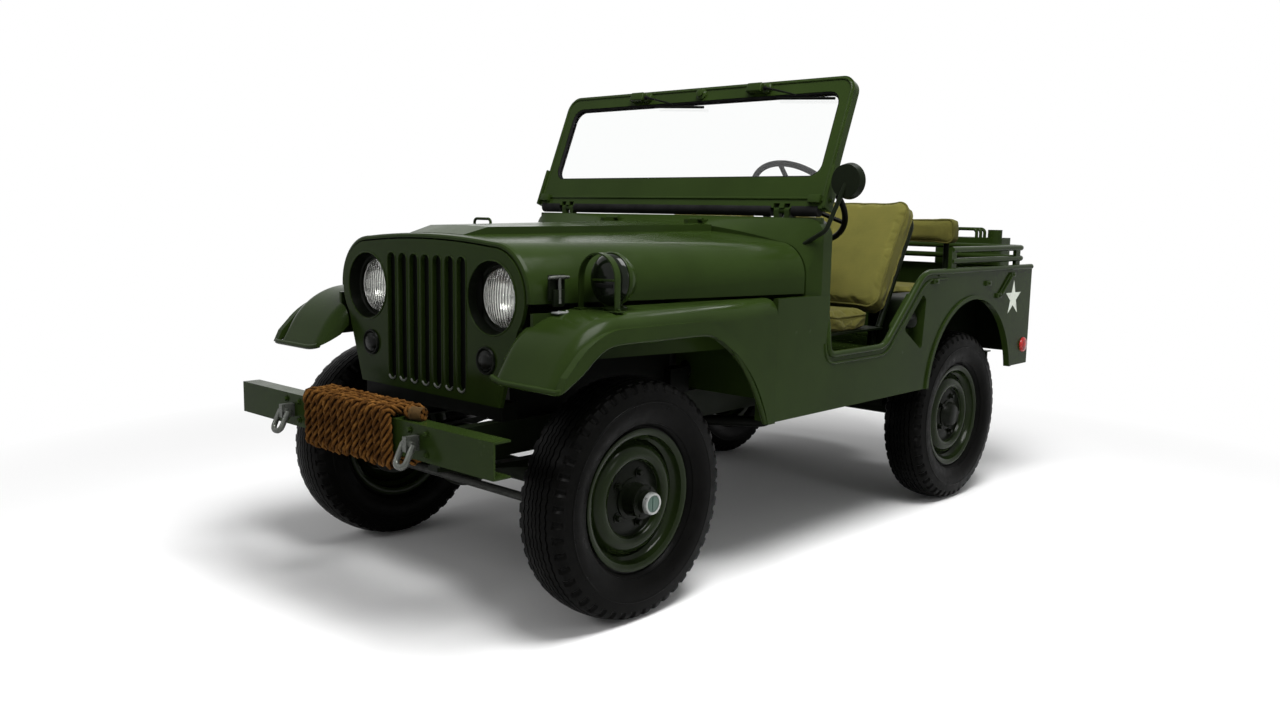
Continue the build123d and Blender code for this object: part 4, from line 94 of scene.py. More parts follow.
# Materials
class Nodes:
    """A node tree with short ways to add to it."""

    def __init__(self, tree):
        self.tree = tree

    def feed(self, node, inputs):
        """Links or sets a node's inputs: each is a socket or a plain value."""
        for name, value in inputs.items():
            if hasattr(value, "is_output"):
                self.tree.links.new(value, node.inputs[name])
            else:
                node.inputs[name].default_value = value

    def add(self, kind, inputs, **settings):
        """A node with its settings and inputs."""
        node = self.tree.nodes.new("ShaderNode" + kind)
        for name, value in settings.items():
            setattr(node, name, value)
        self.feed(node, inputs)
        return node

    def mapped(self, fac, low, high, start=0.3, end=0.7):
        """A value moved from one range to another."""
        inputs = {"Value": fac, "From Min": start, "From Max": end, "To Min": low, "To Max": high}
        return self.add("MapRange", inputs).outputs["Result"]

    def math(self, operation, first, second):
        """One arithmetic step between two sockets, or a socket and a number."""
        return self.add("Math", {0: first, 1: second}, operation=operation).outputs["Value"]


class Look(Nodes):
    """A material in the making, with its shader and the place on the surface in metres."""

    def __init__(self, name, colour, rough, metal=0.0, specular=0.5):
        self.material = bpy.data.materials.new(name)
        self.material.use_nodes = True
        super().__init__(self.material.node_tree)
        self.shader = self.tree.nodes["Principled BSDF"]
        self.place = self.add("TexCoord", {}).outputs["Object"]
        self.set({"Base Color": (*colour, 1), "Roughness": rough, "Metallic": metal})
        self.set({"Specular IOR Level": specular})

    def set(self, inputs):
        """Links or sets the shader's inputs."""
        self.feed(self.shader, inputs)

    def noise(self, scale, detail=4.0, rough=0.55, place=None):
        """Fractal noise, over the surface unless a place is given."""
        place = self.place if place is None else place
        inputs = {"Vector": place, "Scale": scale, "Detail": detail, "Roughness": rough}
        return self.add("TexNoise", inputs).outputs["Fac"]

    def wave(self, scale, direction):
        """Sine bands along one axis."""
        inputs = {"Vector": self.place, "Scale": scale}
        return self.add("TexWave", inputs, bands_direction=direction).outputs["Fac"]

    def ramp(self, fac, *stops):
        """A colour ramp from (position, colour) pairs."""
        node = self.add("ValToRGB", {"Fac": fac})
        elements = node.color_ramp.elements
        while len(elements) < len(stops):
            elements.new(0.5)
        for element, (position, colour) in zip(elements, stops):
            element.position = position
            element.color = (*colour, 1)
        return node.outputs["Color"]

    def mixed(self, fac, first, second):
        """Two colours mixed by a value; each is a socket or three numbers."""
        node = self.add("Mix", {"Factor": fac}, data_type="RGBA")
        for name, value in (("A", first), ("B", second)):
            index = [s.name == name and s.type == "RGBA" for s in node.inputs].index(True)
            self.feed(node, {index: value if hasattr(value, "is_output") else (*value, 1)})
        return [s for s in node.outputs if s.type == "RGBA"][0]

    def bump(self, height, strength, distance):
        """Relief on the shader's normal."""
        node = self.add("Bump", {"Height": height, "Strength": strength, "Distance": distance})
        self.set({"Normal": node.outputs["Normal"]})


def shade(colour, factor):
    """A colour made lighter or darker."""
    return tuple(min(1.0, part * factor) for part in colour)


OLIVE = (0.0128, 0.0228, 0.0044)
DUST = (0.07, 0.065, 0.04)
DUST_LOW = 0.25
DUST_HIGH = 0.95


def paint(name, colour, rough=0.17, specular=0.042, dusting=0.03):
    """Gloss paint: cloudy tone, orange peel, and a little dust that gathers low on the car."""
    look = Look(name, colour, rough, 0.0, specular)
    tone = look.ramp(look.noise(2.6, 5), (0.3, shade(colour, 0.84)), (0.7, shade(colour, 1.16)))
    height = look.add("SeparateXYZ", {"Vector": look.place}).outputs["Z"]
    low = look.mapped(height, dusting, 0.0, DUST_LOW, DUST_HIGH)
    specks = look.mapped(look.noise(38, 8, 0.7), 0.0, 1.0, 0.42, 0.72)
    look.set({"Base Color": look.mixed(look.math("MULTIPLY", low, specks), tone, DUST)})
    sheen = look.mapped(look.noise(9, 6, 0.65), rough - 0.06, rough + 0.1)
    look.set({"Roughness": look.math("ADD", sheen, low)})
    look.bump(look.noise(420, 2), 0.05, 0.0006)
    return look.material


def cast(name, colour, rough):
    """Cast or forged metal with a grainy skin."""
    look = Look(name, colour, rough, 0.6, 0.4)
    grain = look.noise(22, 6, 0.7)
    look.set({"Base Color": look.ramp(grain, (0.3, shade(colour, 0.6)), (0.7, shade(colour, 1.3)))})
    look.set({"Roughness": look.mapped(look.noise(60), rough - 0.1, rough + 0.15)})
    look.bump(look.noise(260, 6, 0.7), 0.25, 0.001)
    return look.material


def bright(name, colour, rough):
    """Plated metal with faint smears."""
    look = Look(name, colour, rough, 1.0, 0.5)
    look.set({"Roughness": look.mapped(look.noise(30, 6, 0.7), rough, rough + 0.18)})
    look.set({"Base Color": look.ramp(look.noise(12), (0.3, shade(colour, 0.8)), (0.7, colour))})
    return look.material


def rubber(name, colour, rough):
    """Black rubber, a little grey where it is worn."""
    look = Look(name, colour, rough, 0.0, 0.03)
    worn = look.noise(14, 8, 0.7)
    look.set({"Base Color": look.ramp(worn, (0.35, shade(colour, 0.7)), (0.75, shade(colour, 1.6)))})
    look.set({"Roughness": look.mapped(look.noise(40, 6), rough - 0.12, rough + 0.12)})
    look.bump(look.noise(500, 4, 0.7), 0.2, 0.0008)
    return look.material


def glass(name, colour):
    """Clear glass with faint smears."""
    look = Look(name, colour, 0.0)
    look.set({"Transmission Weight": 1.0, "IOR": 1.45})
    look.set({"Roughness": look.mapped(look.noise(6, 8, 0.7), 0.0, 0.03, 0.5, 0.9)})
    return look.material


def fluted(name, colour):
    """Pressed lamp glass with upright flutes."""
    look = Look(name, colour, 0.03)
    look.set({"Transmission Weight": 1.0, "IOR": 1.4})
    look.set({"Roughness": look.mapped(look.noise(20, 6), 0.02, 0.1)})
    look.bump(look.wave(26, "X"), 0.5, 0.004)
    return look.material


def canvas(name, colour):
    """Cotton duck: a plain weave, thread by thread, with faded and soiled patches."""
    look = Look(name, colour, 0.85, 0.0, 0.06)
    look.set({"Sheen Weight": 0.04, "Sheen Roughness": 0.5})
    warp, weft, rise = (look.wave(95, axis) for axis in "XYZ")
    weave = look.math("MULTIPLY", look.math("ADD", warp, weft), 0.5)
    weave = look.math("MULTIPLY", look.math("ADD", weave, rise), 0.5)
    fade = look.noise(7, 6, 0.6)
    pale = (colour[0] * 1.2, colour[1] * 1.15, colour[2] * 1.2)
    tone = look.ramp(fade, (0.25, shade(colour, 0.72)), (0.5, colour), (0.8, pale))
    gaps = look.mapped(weave, 0.0, 0.35, 0.35, 0.9)
    look.set({"Base Color": look.mixed(gaps, tone, shade(colour, 0.5))})
    look.set({"Roughness": look.mapped(fade, 0.78, 0.95)})
    look.bump(weave, 0.35, 0.0012)
    return look.material


def manila(name, colour):
    """Rope fibre: yarns along the strand, uneven in tone, with painted shade on each strand's inner side,
    between the strands.
    """
    look = Look(name, colour, 0.9, 0.0, 0.05)
    strand = look.add("UVMap", {}).outputs["UV"]
    drawn = look.add("Mapping", {"Vector": strand, "Scale": (1.0, 14.0, 1.0)}).outputs["Vector"]
    yarn = look.noise(3.0, 8, 0.7, drawn)
    patch = look.noise(26, 6, 0.65)
    pale = (colour[0] * 2.6, colour[1] * 2.9, colour[2] * 3.4)
    mean = look.math("MULTIPLY", look.math("ADD", yarn, patch), 0.5)
    tone = look.ramp(mean, (0.36, shade(colour, 0.2)), (0.5, colour), (0.62, pale))
    around = look.add("SeparateXYZ", {"Vector": strand}).outputs["Y"]
    outward = look.math("ABSOLUTE", look.math("SUBTRACT", around, 0.5), 0.0)
    # painted shade: each strand darker on its inner side, where the strands meet
    strand_shade = look.mapped(outward, 0.0, 1.0, 0.16, 0.4)
    look.set({"Base Color": look.mixed(strand_shade, shade(colour, 0.1), tone)})
    look.set({"Roughness": look.mapped(yarn, 0.8, 1.0)})
    look.bump(yarn, 0.8, 0.002)
    return look.material


def lens(name, colour, rough, specular=0.3):
    """A moulded lamp lens: clear-coated colour with fine ribs."""
    look = Look(name, colour, rough, 0.0, specular)
    ribs = look.wave(70, "X")
    look.set({"Coat Weight": 0.5 * specular})
    look.set({"Base Color": look.ramp(ribs, (0.0, shade(colour, 0.6)), (1.0, shade(colour, 1.2)))})
    look.bump(ribs, 0.4, 0.001)
    return look.material


def chalk(name, colour):
    """Flat stencil paint, thin in places."""
    look = Look(name, colour, 0.6, 0.0, 0.3)
    worn = look.noise(60, 8, 0.7)
    look.set({"Base Color": look.ramp(worn, (0.3, shade(colour, 0.7)), (0.5, colour))})
    look.set({"Roughness": look.mapped(worn, 0.5, 0.75)})
    look.bump(worn, 0.1, 0.0005)
    return look.material


mat_olive = paint("olive_paint", OLIVE)
# Near-black green: the chassis parts' own dark paint, made darker so that it also paints the shade under the
# car and in the wheel houses
mat_dark = paint("dark_paint", (0.004, 0.006, 0.0026), 0.36, 0.04)
mat_black = paint("black_paint", (0.0022, 0.0026, 0.002), 0.4, 0.03)
mat_wheel = paint("wheel_paint", (0.0068, 0.0115, 0.003), 0.13, 0.08, 0.02)
# Near-black that paints the shade in hollows, over the parts' own dark olive: the wheel's hollow centre, the
# headlamp buckets, the marker-lamp rims and the fuel cap in its recess
mat_hollow_shade = paint("hollow_shade_paint", (0.0028, 0.0038, 0.002), 0.3, 0.06, 0.01)
mat_gloss = paint("gloss_paint", (0.004, 0.006, 0.003), 0.1, 0.14, 0.01)
mat_teal = paint("hub_face", (0.04, 0.075, 0.06), 0.3, 0.3, 0.04)
mat_cast = cast("cast_iron", (0.02, 0.021, 0.018), 0.55)
mat_steel = cast("bare_steel", (0.32, 0.33, 0.32), 0.32)
# Worn steel for the latch handles; on the grille's slot lips and the tow shackles its brightness is a painted
# highlight
mat_worn_and_highlight = cast("worn_steel_and_highlight", (0.075, 0.08, 0.07), 0.3)
mat_chrome = bright("chrome", (0.62, 0.64, 0.62), 0.1)
mat_reflector = bright("lamp_silver", (0.6, 0.6, 0.58), 0.08)
mat_tyre = rubber("tyre_rubber", (0.0016, 0.0016, 0.0014), 0.38)
mat_seal = rubber("seal_rubber", (0.006, 0.006, 0.006), 0.6)
mat_glass = glass("window_glass", (0.97, 0.98, 0.975))
mat_flutes = fluted("fluted_glass", (0.93, 0.94, 0.92))
mat_canvas = canvas("khaki_canvas", (0.088, 0.083, 0.018))
mat_twine = canvas("whipping_twine", (0.07, 0.04, 0.013))
mat_piping = canvas("khaki_piping", (0.07, 0.066, 0.014))
mat_rope = manila("manila_rope", (0.075, 0.031, 0.0062))
mat_red = lens("red_lens", (0.32, 0.008, 0.006), 0.18)
mat_dark_lens = lens("dark_lens", (0.004, 0.0045, 0.0036), 0.2, 0.06)
mat_white = chalk("white_stencil", (0.68, 0.72, 0.64))
mat_dial = chalk("dial_face", (0.012, 0.012, 0.012))


# Mesh helpers
def mesh_piece(name, mesh, material, sharp, body="chassis"):
    """Links a mesh as a piece that rides on a body."""
    mesh.polygons.foreach_set("use_smooth", [True] * len(mesh.polygons))
    mesh.set_sharp_from_angle(angle=math.radians(sharp))
    mesh.materials.clear()
    mesh.materials.append(material)
    piece = bpy.data.objects.new(name, mesh)
    scene.collection.objects.link(piece)
    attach(piece, body)
    return piece


def make_piece(name, bm, material, sharp, body="chassis"):
    """A piece from a bmesh, which is freed."""
    bmesh.ops.recalc_face_normals(bm, faces=bm.faces)
    mesh = bpy.data.meshes.new(name)
    bm.to_mesh(mesh)
    bm.free()
    return mesh_piece(name, mesh, material, sharp, body)


def basis(axis):
    """Two unit vectors across an axis."""
    axis = Vector(axis).normalized()
    helper = Z_AXIS if abs(axis.z) < 0.9 else X_AXIS
    first = helper.cross(axis).normalized()
    return first, axis.cross(first)


def ring_points(centre, across, up, radius, steps=48, start=0.0, sweep=TAU):
    """Points on a circle, or on a part of one."""
    count = steps if sweep >= TAU else steps + 1
    return [
        Vector(centre)
        + radius * math.cos(start + sweep * step / steps) * Vector(across)
        + radius * math.sin(start + sweep * step / steps) * Vector(up)
        for step in range(count)
    ]


def add_ring(bm, centre, first, second, radius, steps):
    """A ring of new vertices about a centre."""
    angles = [TAU * step / steps for step in range(steps)]
    return [
        bm.verts.new(centre + radius * (math.cos(angle) * first + math.sin(angle) * second))
        for angle in angles
    ]


def add_wall(bm, low, high):
    """Faces between two rings, either of which may be a single vertex."""
    steps = max(len(low), len(high))
    faces = []
    for step in range(steps if steps > 1 else 0):
        after = (step + 1) % steps
        corners = (low[step], low[after]) if len(low) > 1 else (low[0],)
        corners += (high[after], high[step]) if len(high) > 1 else (high[0],)
        faces.append(bm.faces.new(corners))
    return faces


def add_lathe(bm, profile, origin, axis, steps):
    """Revolves (along, radius) points about an axis, closing points on the axis to one vertex."""
    axis = Vector(axis).normalized()
    first, second = basis(axis)
    rings = []
    for along, radius in profile:
        centre = Vector(origin) + axis * along
        on_axis = radius < 1e-6
        rings.append([bm.verts.new(centre)] if on_axis else add_ring(bm, centre, first, second, radius, steps))
    for low, high in zip(rings, rings[1:]):
        add_wall(bm, low, high)


def lathe_piece(name, profile, origin, axis, steps, material, sharp, body="chassis"):
    """A piece that is one turned shape."""
    bm = bmesh.new()
    add_lathe(bm, profile, origin, axis, steps)
    return make_piece(name, bm, material, sharp, body)


def frames_along(points, closed=False):
    """Each point of a line with two directions across it, which turn as little as they can."""
    count = len(points)
    normal = None
    for index, point in enumerate(points):
        before = points[index - 1] if index or closed else point
        after = points[(index + 1) % count] if index < count - 1 or closed else point
        tangent = (after - before).normalized()
        if normal is None:
            normal = basis(tangent)[0]
        normal = (normal - normal.dot(tangent) * tangent).normalized()
        yield point, normal, tangent.cross(normal)


def cap_ends(bm, rings):
    """Closes a tube's two ends."""
    bm.faces.new(list(reversed(rings[0])))
    bm.faces.new(rings[-1])


def add_tube(bm, points, radius, steps, closed=False):
    """A round tube along points; radius is a number or one number for each point."""
    points = [Vector(p) for p in points]
    radii = radius if hasattr(radius, "__len__") else [radius] * len(points)
    rings = [
        add_ring(bm, point, normal, across, size, steps)
        for (point, normal, across), size in zip(frames_along(points, closed), radii)
    ]
    for low, high in zip(rings, rings[1:] + rings[:1] if closed else rings[1:]):
        add_wall(bm, low, high)
    if not closed:
        cap_ends(bm, rings)


def join(bm, made, bevel, segments=2):
    """Rounds the edges of one bmesh, adds it to another and frees it."""
    if bevel:
        edges = list(made.edges)
        bmesh.ops.bevel(
            made, geom=edges, offset=bevel, segments=segments, affect="EDGES", profile=0.6, clamp_overlap=True
        )
    mesh = bpy.data.meshes.new("scratch")
    made.to_mesh(mesh)
    made.free()
    bm.from_mesh(mesh)
    bpy.data.meshes.remove(mesh)


def add_plate(bm, outline, origin, across, up, thickness, bevel=0.0):
    """A flat plate from an outline in its own plane, as thick as given along across × up."""
    across = Vector(across).normalized()
    up = Vector(up).normalized()
    made = bmesh.new()
    flat = [Vector(origin) + a * across + b * up for a, b in outline]
    low = [made.verts.new(spot) for spot in flat]
    high = [made.verts.new(spot + thickness * across.cross(up)) for spot in flat]
    cap_ends(made, (low, high))
    add_wall(made, low, high)
    join(bm, made, bevel)


def add_block(bm, size, centre, bevel, turn=Matrix.Identity(3), segments=2):
    """A block with bevelled edges."""
    made = bmesh.new()
    bmesh.ops.create_cube(made, size=1)
    for vert in made.verts:
        local = Vector((vert.co.x * size[0], vert.co.y * size[1], vert.co.z * size[2]))
        vert.co = turn @ local + Vector(centre)
    join(bm, made, bevel, segments)


def add_bolt(bm, origin, axis, radius, height):
    """A hexagon head on a washer."""
    seat = 0.25 * height
    wide = 1.5 * radius
    head = ((seat, 0), (seat, radius), (0.85 * height, radius), (height, 0.8 * radius), (height, 0))
    add_lathe(bm, ((0, 0), (0, wide), (seat, wide), (seat, 0)), origin, axis, 20)
    add_lathe(bm, head, origin, axis, 6)


def spline_points(route):
    """Points along the smooth spline that has these control points."""
    curve = bpy.data.curves.new("route", "CURVE")
    curve.dimensions = "3D"
    spline = curve.splines.new("NURBS")
    spline.points.add(len(route) - 1)
    for target, point in zip(spline.points, route):
        target.co = (*point, 1)
    spline.order_u = 3
    spline.use_endpoint_u = True
    spline.resolution_u = 8
    carrier = bpy.data.objects.new("route", curve)
    scene.collection.objects.link(carrier)
    mesh = bpy.data.meshes.new_from_object(carrier)
    points = [v.co.copy() for v in mesh.vertices]
    bpy.data.meshes.remove(mesh)
    bpy.data.objects.remove(carrier)
    bpy.data.curves.remove(curve)
    return points


def even_points(points, step):
    """The same line with its points about one step apart."""
    kept = [points[0]]
    for point in points[1:]:
        if (point - kept[-1]).length >= step:
            kept.append(point)
    return kept


# The rope wound on the front bumper: one spline, turn after turn
ROPE_TURNS = 12
ROPE_TOP = 5
ROPE_PITCH = 0.0384
ROPE_START_X = -0.226
BUMPER_Y = -1.5635
ROPE_LOOP = (
    (0.0495, 0.5825), (0.0495, 0.61), (0.0497, 0.628), (0.054, 0.659), (0.018, 0.6547), (0.0, 0.6545),
    (-0.018, 0.6547), (-0.054, 0.659), (-0.0497, 0.628), (-0.0495, 0.61), (-0.0495, 0.5825),
    (-0.0495, 0.535), (-0.052, 0.5015), (-0.02, 0.5045), (0.0, 0.5035), (0.02, 0.5045), (0.052, 0.5015),
    (0.0495, 0.535),
)
ROPE_TAIL = ((0.012, 0.002, 0.6546), (0.035, -0.004, 0.6548), (0.06, 0.004, 0.6546), (0.085, 0.012, 0.6546))
ROPE_SAG = 0.003
ROPE_SAG_FROM = 0.53
ROPE_STEP = 0.008
ROPE_STRANDS = 4
ROPE_LAY = 0.1
STRAND_R = 0.0076
STRAND_OFF = 0.0112
STRAND_STEPS = 9
YARN_SCALE = 14
WHIPPING = ((-0.0016, 0.0187), (-0.0011, 0.02), (0.0011, 0.02), (0.0016, 0.0187), (-0.0016, 0.0187))
WHIPPING_SPOTS = 5
WHIPPING_SHARES = (0.0, 0.34, 0.67)


def rope_route():
    """Control points of the winding, from behind the bumper, each turn sagging a little differently."""
    points = []
    count = len(ROPE_LOOP)
    sag = 0.0
    for index in range(ROPE_TURNS * count + ROPE_TOP):
        if index % count == 0:
            sag = draw.uniform(-ROPE_SAG, ROPE_SAG)
        across, height = ROPE_LOOP[index % count]
        if height < ROPE_SAG_FROM:
            height += sag
        points.append((ROPE_START_X + ROPE_PITCH * index / count, BUMPER_Y + across, height))
    last = points[-1][0]
    points += [(last + along, BUMPER_Y + across, height) for along, across, height in ROPE_TAIL]
    return points


def add_strand(bm, uv, line, walked, phase):
    """One strand twisted about the line, with its length and its way round as UV."""
    rings = []
    for (point, normal, side), length in zip(frames_along(line), walked):
        turn = TAU * (phase + length / ROPE_LAY)
        out = math.cos(turn) * normal + math.sin(turn) * side
        along = -math.sin(turn) * normal + math.cos(turn) * side
        rings.append(add_ring(bm, point + STRAND_OFF * out, out, along, STRAND_R, STRAND_STEPS))
    for index, (low, high) in enumerate(zip(rings, rings[1:])):
        for step, face in enumerate(add_wall(bm, low, high)):
            spots = ((index, step), (index, step + 1), (index + 1, step + 1), (index + 1, step))
            for loop, (row, column) in zip(face.loops, spots):
                loop[uv].uv = (walked[row] * YARN_SCALE, column / STRAND_STEPS)
    cap_ends(bm, rings)


def build_rope():
    """Four laid strands along the winding, and whippings at its two ends."""
    line = even_points(spline_points(rope_route()), ROPE_STEP)
    walked = [0.0]
    for before, after in zip(line, line[1:]):
        walked.append(walked[-1] + (after - before).length)
    bm = bmesh.new()
    uv = bm.loops.layers.uv.new("UVMap")
    for strand in range(ROPE_STRANDS):
        add_strand(bm, uv, line, walked, strand / ROPE_STRANDS)
    rope = make_piece("rope_strands", bm, mat_rope, 60)
    for name, spots in (("start", line[:WHIPPING_SPOTS]), ("end", line[-WHIPPING_SPOTS:])):
        bm = bmesh.new()
        for first, second in zip(spots, spots[1:]):
            for share in WHIPPING_SHARES:
                add_lathe(bm, WHIPPING, first.lerp(second, share), (second - first).normalized(), 20)
        make_piece(f"rope_whipping_{name}", bm, mat_twine, 35)
    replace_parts(rope, "rope_winding")


build_rope()

# Tyres
AXLE_X = 0.624
AXLE_Y = 1.0285
SPARE_AT = (-0.33, 1.7435, 0.8)
TYRE_R = 0.374
TYRE_STEPS = 288
ZIGZAG_STEPS = 4
ZIGZAG = 0.0022
NOTCH_STEPS = 6
NOTCH_WIDTH = 2
NOTCH_DEPTH = 0.006
NOTCH_DRAW = 0.965
SERRATION_DRAW = 0.988
GROOVE_DEPTH = 0.009
GROOVE_SLOPE = 0.001
CROWN_DROP = 0.0076
CROWN_HALF = 0.0625
TYRE_SIDE = (
    ("plain", (
        (0.0375, 0.2045), (0.0552, 0.2045), (0.0557, 0.2268), (0.0672, 0.2335), (0.0718, 0.239),
        (0.0745, 0.2395), (0.0775, 0.244), (0.0785, 0.2475), (0.0835, 0.256), (0.0892, 0.274), (0.092, 0.29),
        (0.0918, 0.304), (0.0926, 0.3055), (0.0924, 0.309), (0.0908, 0.3105),
    )),
    ("serration", ((0.0895, 0.322), (0.0873, 0.334))),
    ("plain", ((0.086, 0.3395),)),
    ("notch", ((0.0845, 0.3465), (0.0815, 0.3535), (0.0745, 0.3628), (0.0655, 0.3658))),
    ("plain", ((0.0625, 0.3664),)),
)
TYRE_GROOVES = ((0.045, 0.005), (0.024, 0.005), (0.0075, 0.004))


def crown(across):
    """The tread's radius at a distance from its middle."""
    return TYRE_R - CROWN_DROP * (across / CROWN_HALF) ** 2


def tyre_profile():
    """(across, radius, kind) from one bead to the other."""
    half = [(across, radius, kind) for kind, spots in TYRE_SIDE for across, radius in spots]
    for centre, width in TYRE_GROOVES:
        outer = centre + width / 2
        inner = centre - width / 2
        half.append((outer, crown(outer), "zigzag"))
        half.append((outer - GROOVE_SLOPE, crown(outer) - GROOVE_DEPTH, "zigzag"))
        half.append((inner + GROOVE_SLOPE, crown(inner) - GROOVE_DEPTH, "zigzag"))
        half.append((inner, crown(inner), "zigzag"))
    other = [(-across, radius, kind) for across, radius, kind in reversed(half)]
    return half + [(0.0, crown(0.0), "plain")] + other


def build_tyre(name, node, body, centre, axis):
    """A highway-tread tyre: zigzag ribs, notched shoulders and a ribbed band on the sidewall."""
    profile = tyre_profile()
    axis = Vector(axis)
    first, second = basis(axis)
    verts = []
    faces = []
    count = len(profile)
    for step in range(TYRE_STEPS):
        angle = TAU * step / TYRE_STEPS
        out = math.cos(angle) * first + math.sin(angle) * second
        swing = abs(step % ZIGZAG_STEPS - ZIGZAG_STEPS / 2) / (ZIGZAG_STEPS / 4) - 1
        for across, radius, kind in profile:
            if kind == "zigzag":
                across += ZIGZAG * swing
            elif kind == "notch" and step % NOTCH_STEPS < NOTCH_WIDTH:
                radius -= NOTCH_DEPTH
                across *= NOTCH_DRAW
            elif kind == "serration" and step % 2:
                across *= SERRATION_DRAW
            verts.append(Vector(centre) + across * axis + radius * out)
        here = step * count
        after = (step + 1) % TYRE_STEPS * count
        faces += [(here + row, after + row, after + row + 1, here + row + 1) for row in range(count - 1)]
    mesh = bpy.data.meshes.new(name)
    mesh.from_pydata([tuple(v) for v in verts], [], faces)
    mesh.update()
    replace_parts(mesh_piece(name, mesh, mat_tyre, 28, body), node)


for place, y in (("front", -AXLE_Y), ("rear", AXLE_Y)):
    for side, sign in SIDES:
        build_tyre(
            f"tyre_{place}_{side}",
            f"tyre_{place[0]}{side[0]}",
            f"wheel_{place}_{side}",
            (sign * AXLE_X, y, TYRE_R),
            (sign, 0, 0),
        )
build_tyre("tyre_spare", "spare_tyre", "chassis", SPARE_AT, Y_AXIS)

# Wheels: rolled rim, crowned ring, a near-black disc of painted shade in the hollow, and hub
WHEEL_SKIN = (
    (-0.062, 0.2215), (-0.0565, 0.2215), (-0.0555, 0.2042), (-0.03, 0.2), (-0.022, 0.1862), (0.022, 0.1862),
    (0.03, 0.2), (0.0555, 0.2042), (0.0565, 0.2215), (0.062, 0.2215), (0.0628, 0.2195), (0.0612, 0.2085),
    (0.057, 0.2005), (0.038, 0.197), (0.031, 0.191), (0.025, 0.1825), (0.0185, 0.1815), (0.0205, 0.178),
    (0.031, 0.171), (0.0415, 0.162), (0.0475, 0.151), (0.0498, 0.14), (0.049, 0.13), (0.0455, 0.1235),
    (0.038, 0.1195), (0.032, 0.1185), (0.0298, 0.1165), (0.0298, 0.05), (0.0245, 0.05), (0.0245, 0.119),
    (0.033, 0.1235), (0.0425, 0.131), (0.0445, 0.14), (0.042, 0.15), (0.0365, 0.159), (0.0265, 0.168),
    (0.012, 0.1795), (-0.019, 0.18), (-0.028, 0.194), (-0.0565, 0.1985), (-0.0612, 0.2085),
    (-0.0628, 0.2195), (-0.062, 0.2215),
)
WHEEL_FACE = 0.0306
# A flat disc just outside the wheel's face, in near-black, that paints the shade in the wheel's hollow centre
HOLLOW_SHADE_SKIN = ((0.0299, 0.1175), (WHEEL_FACE, 0.1165), (WHEEL_FACE, 0.0))
DRUM_SKIN = ((0.0244, 0.05), (0.0244, 0.131), (0.02, 0.135), (-0.04, 0.135), (-0.042, 0.133), (-0.042, 0.05))
HUB_FLANGE = ((0.03, 0.066), (0.036, 0.0655))
NUTS = (5, 0.083, 0.0095, 0.016)
LOCK_BOLTS = (6, 0.0445, 0.0045, 0.008)
LOCK_BOLTS_BACK = 0.041
DIAL_BAR = (0.004, 0.009, 0.04)
FRONT_TIP = 0.122
REAR_TIP = 0.066
REAR_HUB_SKIN = HUB_FLANGE + ((0.038, 0.058), (0.06, 0.047), (REAR_TIP, 0.038), (REAR_TIP, 0.0))
FRONT_HUB_SKIN = HUB_FLANGE + (
    (0.038, 0.0525), (FRONT_TIP - 0.046, 0.047), (FRONT_TIP - 0.044, 0.052), (FRONT_TIP - 0.036, 0.052),
    (FRONT_TIP - 0.034, 0.036), (FRONT_TIP - 0.016, 0.0345), (FRONT_TIP - 0.016, 0.0),
)
HUB_RING_SKIN = (
    (FRONT_TIP - 0.017, 0.0345), (FRONT_TIP - 0.005, 0.034), (FRONT_TIP - 0.001, 0.0325), (FRONT_TIP, 0.0295),
    (FRONT_TIP - 0.002, 0.026),
)
HUB_DIAL_SKIN = ((FRONT_TIP - 0.003, 0.0265), (FRONT_TIP - 0.0022, 0.015), (FRONT_TIP - 0.002, 0.0))


def build_wheel(place, side, sign, y, hub_skin):
    """One road wheel with its drum, hub and nuts, and at the front the locking hub's cap."""
    centre = Vector((sign * AXLE_X, y, TYRE_R))
    axis = Vector((sign, 0, 0))
    body = f"wheel_{place}_{side}"
    front = place == "front"
    wheel = lathe_piece(f"rim_{place}_{side}", WHEEL_SKIN, centre, axis, 96, mat_wheel, 40, body)
    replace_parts(wheel, f"wheel_{place[0]}{side[0]}")
    bm = bmesh.new()
    # painted shade: a near-black disc over the hollow centre; the hub and nuts share its near-black
    add_lathe(bm, HOLLOW_SHADE_SKIN, centre, axis, 64)
    add_lathe(bm, hub_skin, centre, axis, 48)
    rows = [(WHEEL_FACE, NUTS)] + [(FRONT_TIP - LOCK_BOLTS_BACK, LOCK_BOLTS)] * front
    for along, (count, circle, radius, height) in rows:
        for turn in range(count):
            angle = TAU * turn / count
            across = (y + circle * math.cos(angle), TYRE_R + circle * math.sin(angle))
            add_bolt(bm, (sign * (AXLE_X + along), *across), axis, radius, height)
    make_piece(f"hub_{place}_{side}", bm, mat_hollow_shade, 40, body)
    lathe_piece(f"drum_{place}_{side}", DRUM_SKIN, centre, axis, 64, mat_cast, 40, body)
    if front:
        lathe_piece(f"hub_ring_{place}_{side}", HUB_RING_SKIN, centre, axis, 48, mat_steel, 50, body)
        bm = bmesh.new()
        add_lathe(bm, HUB_DIAL_SKIN, centre, axis, 48)
        add_block(bm, DIAL_BAR, centre + axis * (FRONT_TIP - 0.0025), 0.001)
        make_piece(f"hub_dial_{place}_{side}", bm, mat_teal, 50, body)


for side, sign in SIDES:
    build_wheel("front", side, sign, -AXLE_Y, FRONT_HUB_SKIN)
    build_wheel("rear", side, sign, AXLE_Y, REAR_HUB_SKIN)

